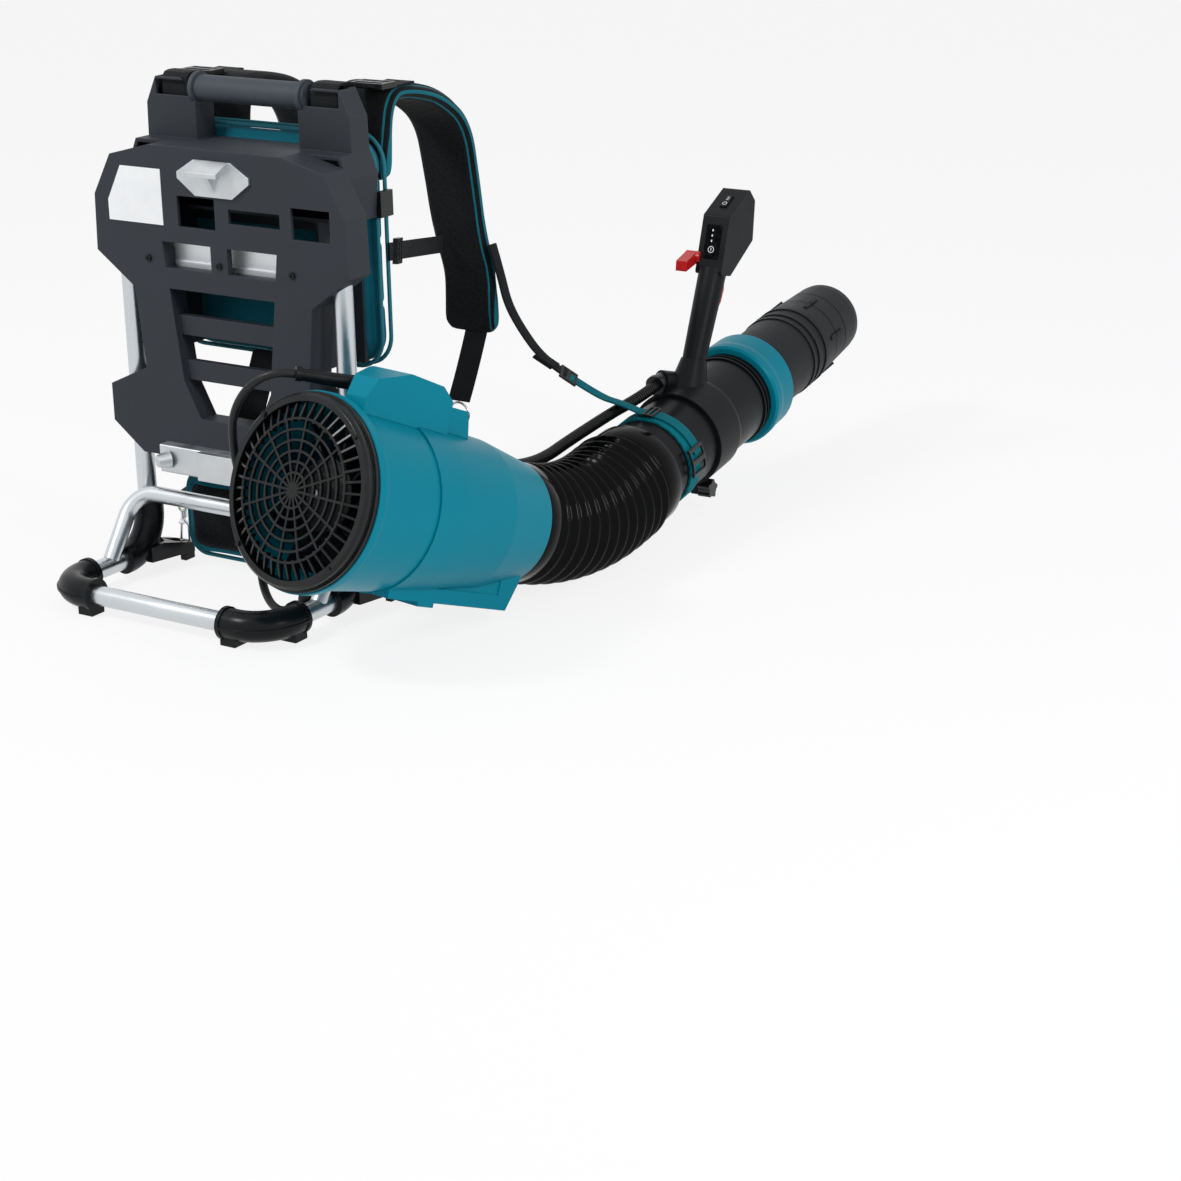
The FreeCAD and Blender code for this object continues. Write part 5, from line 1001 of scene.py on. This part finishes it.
printed("level_marks", [(-1.5, y, 1.5, 2.6) for y in (10.5, 17.0, 23.5)], [],
        button_middle + rear_out * 0.75, rear_along, "handle")
printed("power_mark", [(0, 0.3, 0.8, 3.4)], [(0, 0, 3.7, 0.8)],
        button_middle + rear_out * (button_height + 0.1), rear_along, "power_key")
printed("top_key_marks", [(0, y, 3.6, 0.7) for y in (2.0, 4.6, 7.2)], [(0, -5.0, 2.6, 0.7)],
        top_middle + top_out * (button_height + 0.1), top_along, "top_key")


# Control conduit
# A corrugated nylon tube round the control lead, from the handle's gland along the pipe and
# the bellows to the boss on the blower. It is split where the bellows' hoop is.

conduit_nylon, shader, place = new_material("corrugated_black_nylon", "#0C0D0E", 0.34, specular=0.35)
haze = add(conduit_nylon, "TexNoise", {"Vector": place, "Scale": 60.0, "Detail": 4.0})
finish(conduit_nylon, shader, haze, polish=(0.3, 0.46))
conduit_points = ((265.4, 449.1, 164.1), (266.1, 429.3, 161.2), (257.5, 403.2, 152.8),
                  (249.4, 377.6, 146.6), (239.4, 290.2, 130.0), (240.2, 255.5, 125.2),
                  (239.7, 223.0, 124.3), (237.9, 190.6, 127.7), (235.0, 159.1, 135.2),
                  (230.9, 130.4, 145.4), (227.8, 111.8, 152.1))
conduit_line = route_line(conduit_points)
conduit_run = distances(conduit_line)
corrugation = 3.2
tube_radius, ring_radius = 5.9, 7.0
behind_strap = 0.3776
count = round(conduit_run[-1] * 1000 / corrugation)
corrugation = conduit_run[-1] * 1000 / count
ring_shape = [(corrugation * 0.15, ring_radius), (corrugation * 0.45, ring_radius),
              (corrugation * 0.15, tube_radius), (corrugation * 0.25, tube_radius)]
conduit = ribbed_hose("conduit_front", [(0, tube_radius)], ring_shape, 1, [], 20)
apply_modifier(conduit, "ARRAY", count=count, use_relative_offset=False, use_constant_offset=True,
               constant_offset_displace=(0, corrugation / 1000, 0), use_merge_vertices=True,
               merge_threshold=0.0001)
halfway = (fan_axis + pipe_axis).normalized()
at_strap = min(range(len(conduit_line)), key=lambda k: abs(conduit_line[k].y - behind_strap))
at_hoop = min(range(len(conduit_line)), key=lambda k: abs((conduit_line[k] - pivot).dot(halfway)))
front_part, rest = halve(conduit, conduit_run[at_strap])
middle_part, rear_part = halve(rest, conduit_run[at_hoop])
middle_part.name = "conduit_middle"
rear_part.name = "conduit_rear"
for piece in (front_part, middle_part, rear_part):
    lay(piece, conduit_line, X_WAY, square=True)
    face_outwards(piece)
    smooth(piece, 50.0)
    paint(conduit_nylon, piece)
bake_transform(front_part)
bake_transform(middle_part)
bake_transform(rear_part)
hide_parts("control_conduit")


# Floor, light and camera
# A white floor, a soft box above to the left, a tall one to the right, and an even white
# surrounding. The camera stands where the photograph was taken.

floor_size = 14.0
bpy.ops.mesh.primitive_plane_add(size=floor_size, location=(0, 0, -0.0005))
floor = bpy.context.object
floor.name = "studio_floor"
floor_paper, shader, place = new_material("white_paper_floor", "#F2F2F2", 0.9)
floor_glow = 0.84


def shown_rays(owner):
    # 1 for the rays that show the background itself, straight, mirrored or through glass
    seen = add(owner, "LightPath", {}, "Is Camera Ray")
    for ray in ("Is Glossy Ray", "Is Transmission Ray"):
        seen = add(owner, "Math", {0: seen, 1: add(owner, "LightPath", {}, ray)}, operation="MAXIMUM")
    return seen


glow = add(floor_paper, "Emission", {"Color": (1, 1, 1, 1), "Strength": 1.0})
share = add(floor_paper, "Math", {0: shown_rays(floor_paper), 1: floor_glow}, operation="MULTIPLY")
mixed = add(floor_paper, "MixShader", {0: share, 1: shader.outputs[0], 2: glow})
link(floor_paper, mixed, floor_paper.node_tree.nodes["Material Output"].inputs["Surface"])
floor.data.materials.append(floor_paper)

world = bpy.data.worlds.new("white_surrounding")
scene.world = world
world.use_nodes = True
background = world.node_tree.nodes["Background"]
background.inputs["Color"].default_value = (1, 1, 1, 1)
fill_level = 0.48
level = add(world, "MapRange", {"Value": shown_rays(world), "To Min": fill_level, "To Max": 1.0})
link(world, level, background.inputs["Strength"])


def soft_box(name, place, target, size, power):
    lamp = bpy.data.lights.new(name, "AREA")
    lamp.shape = "RECTANGLE"
    lamp.size, lamp.size_y = size
    lamp.energy = power
    holder = bpy.data.objects.new(name, lamp)
    holder.location = place
    heading = Vector(target) - Vector(place)
    holder.rotation_euler = heading.to_track_quat("-Z", "Y").to_euler()
    scene.collection.objects.link(holder)


soft_box("key_box", (-0.9, -1.7, 2.3), (0.1, 0.1, 0.25), (0.6, 0.4), 40.0)
soft_box("side_box", (2.4, -0.4, 1.5), (0.2, 0.2, 0.2), (0.3, 1.0), 24.0)

camera_place = Vector((1.8324, -2.1741, 0.9670))
azimuth, elevation, roll = (math.radians(a) for a in (32.381, 19.158, -1.0116))
lens = bpy.data.cameras.new("photo_camera")
lens.lens = 79.9
lens.sensor_width = 36.0
camera = bpy.data.objects.new("photo_camera", lens)
camera.matrix_world = (Matrix.Translation(camera_place) @ Matrix.Rotation(azimuth, 4, "Z")
                       @ Matrix.Rotation(math.pi / 2 - elevation, 4, "X")
                       @ Matrix.Rotation(roll, 4, "Z"))
scene.collection.objects.link(camera)
scene.camera = camera
scene.view_settings.view_transform = "Standard"
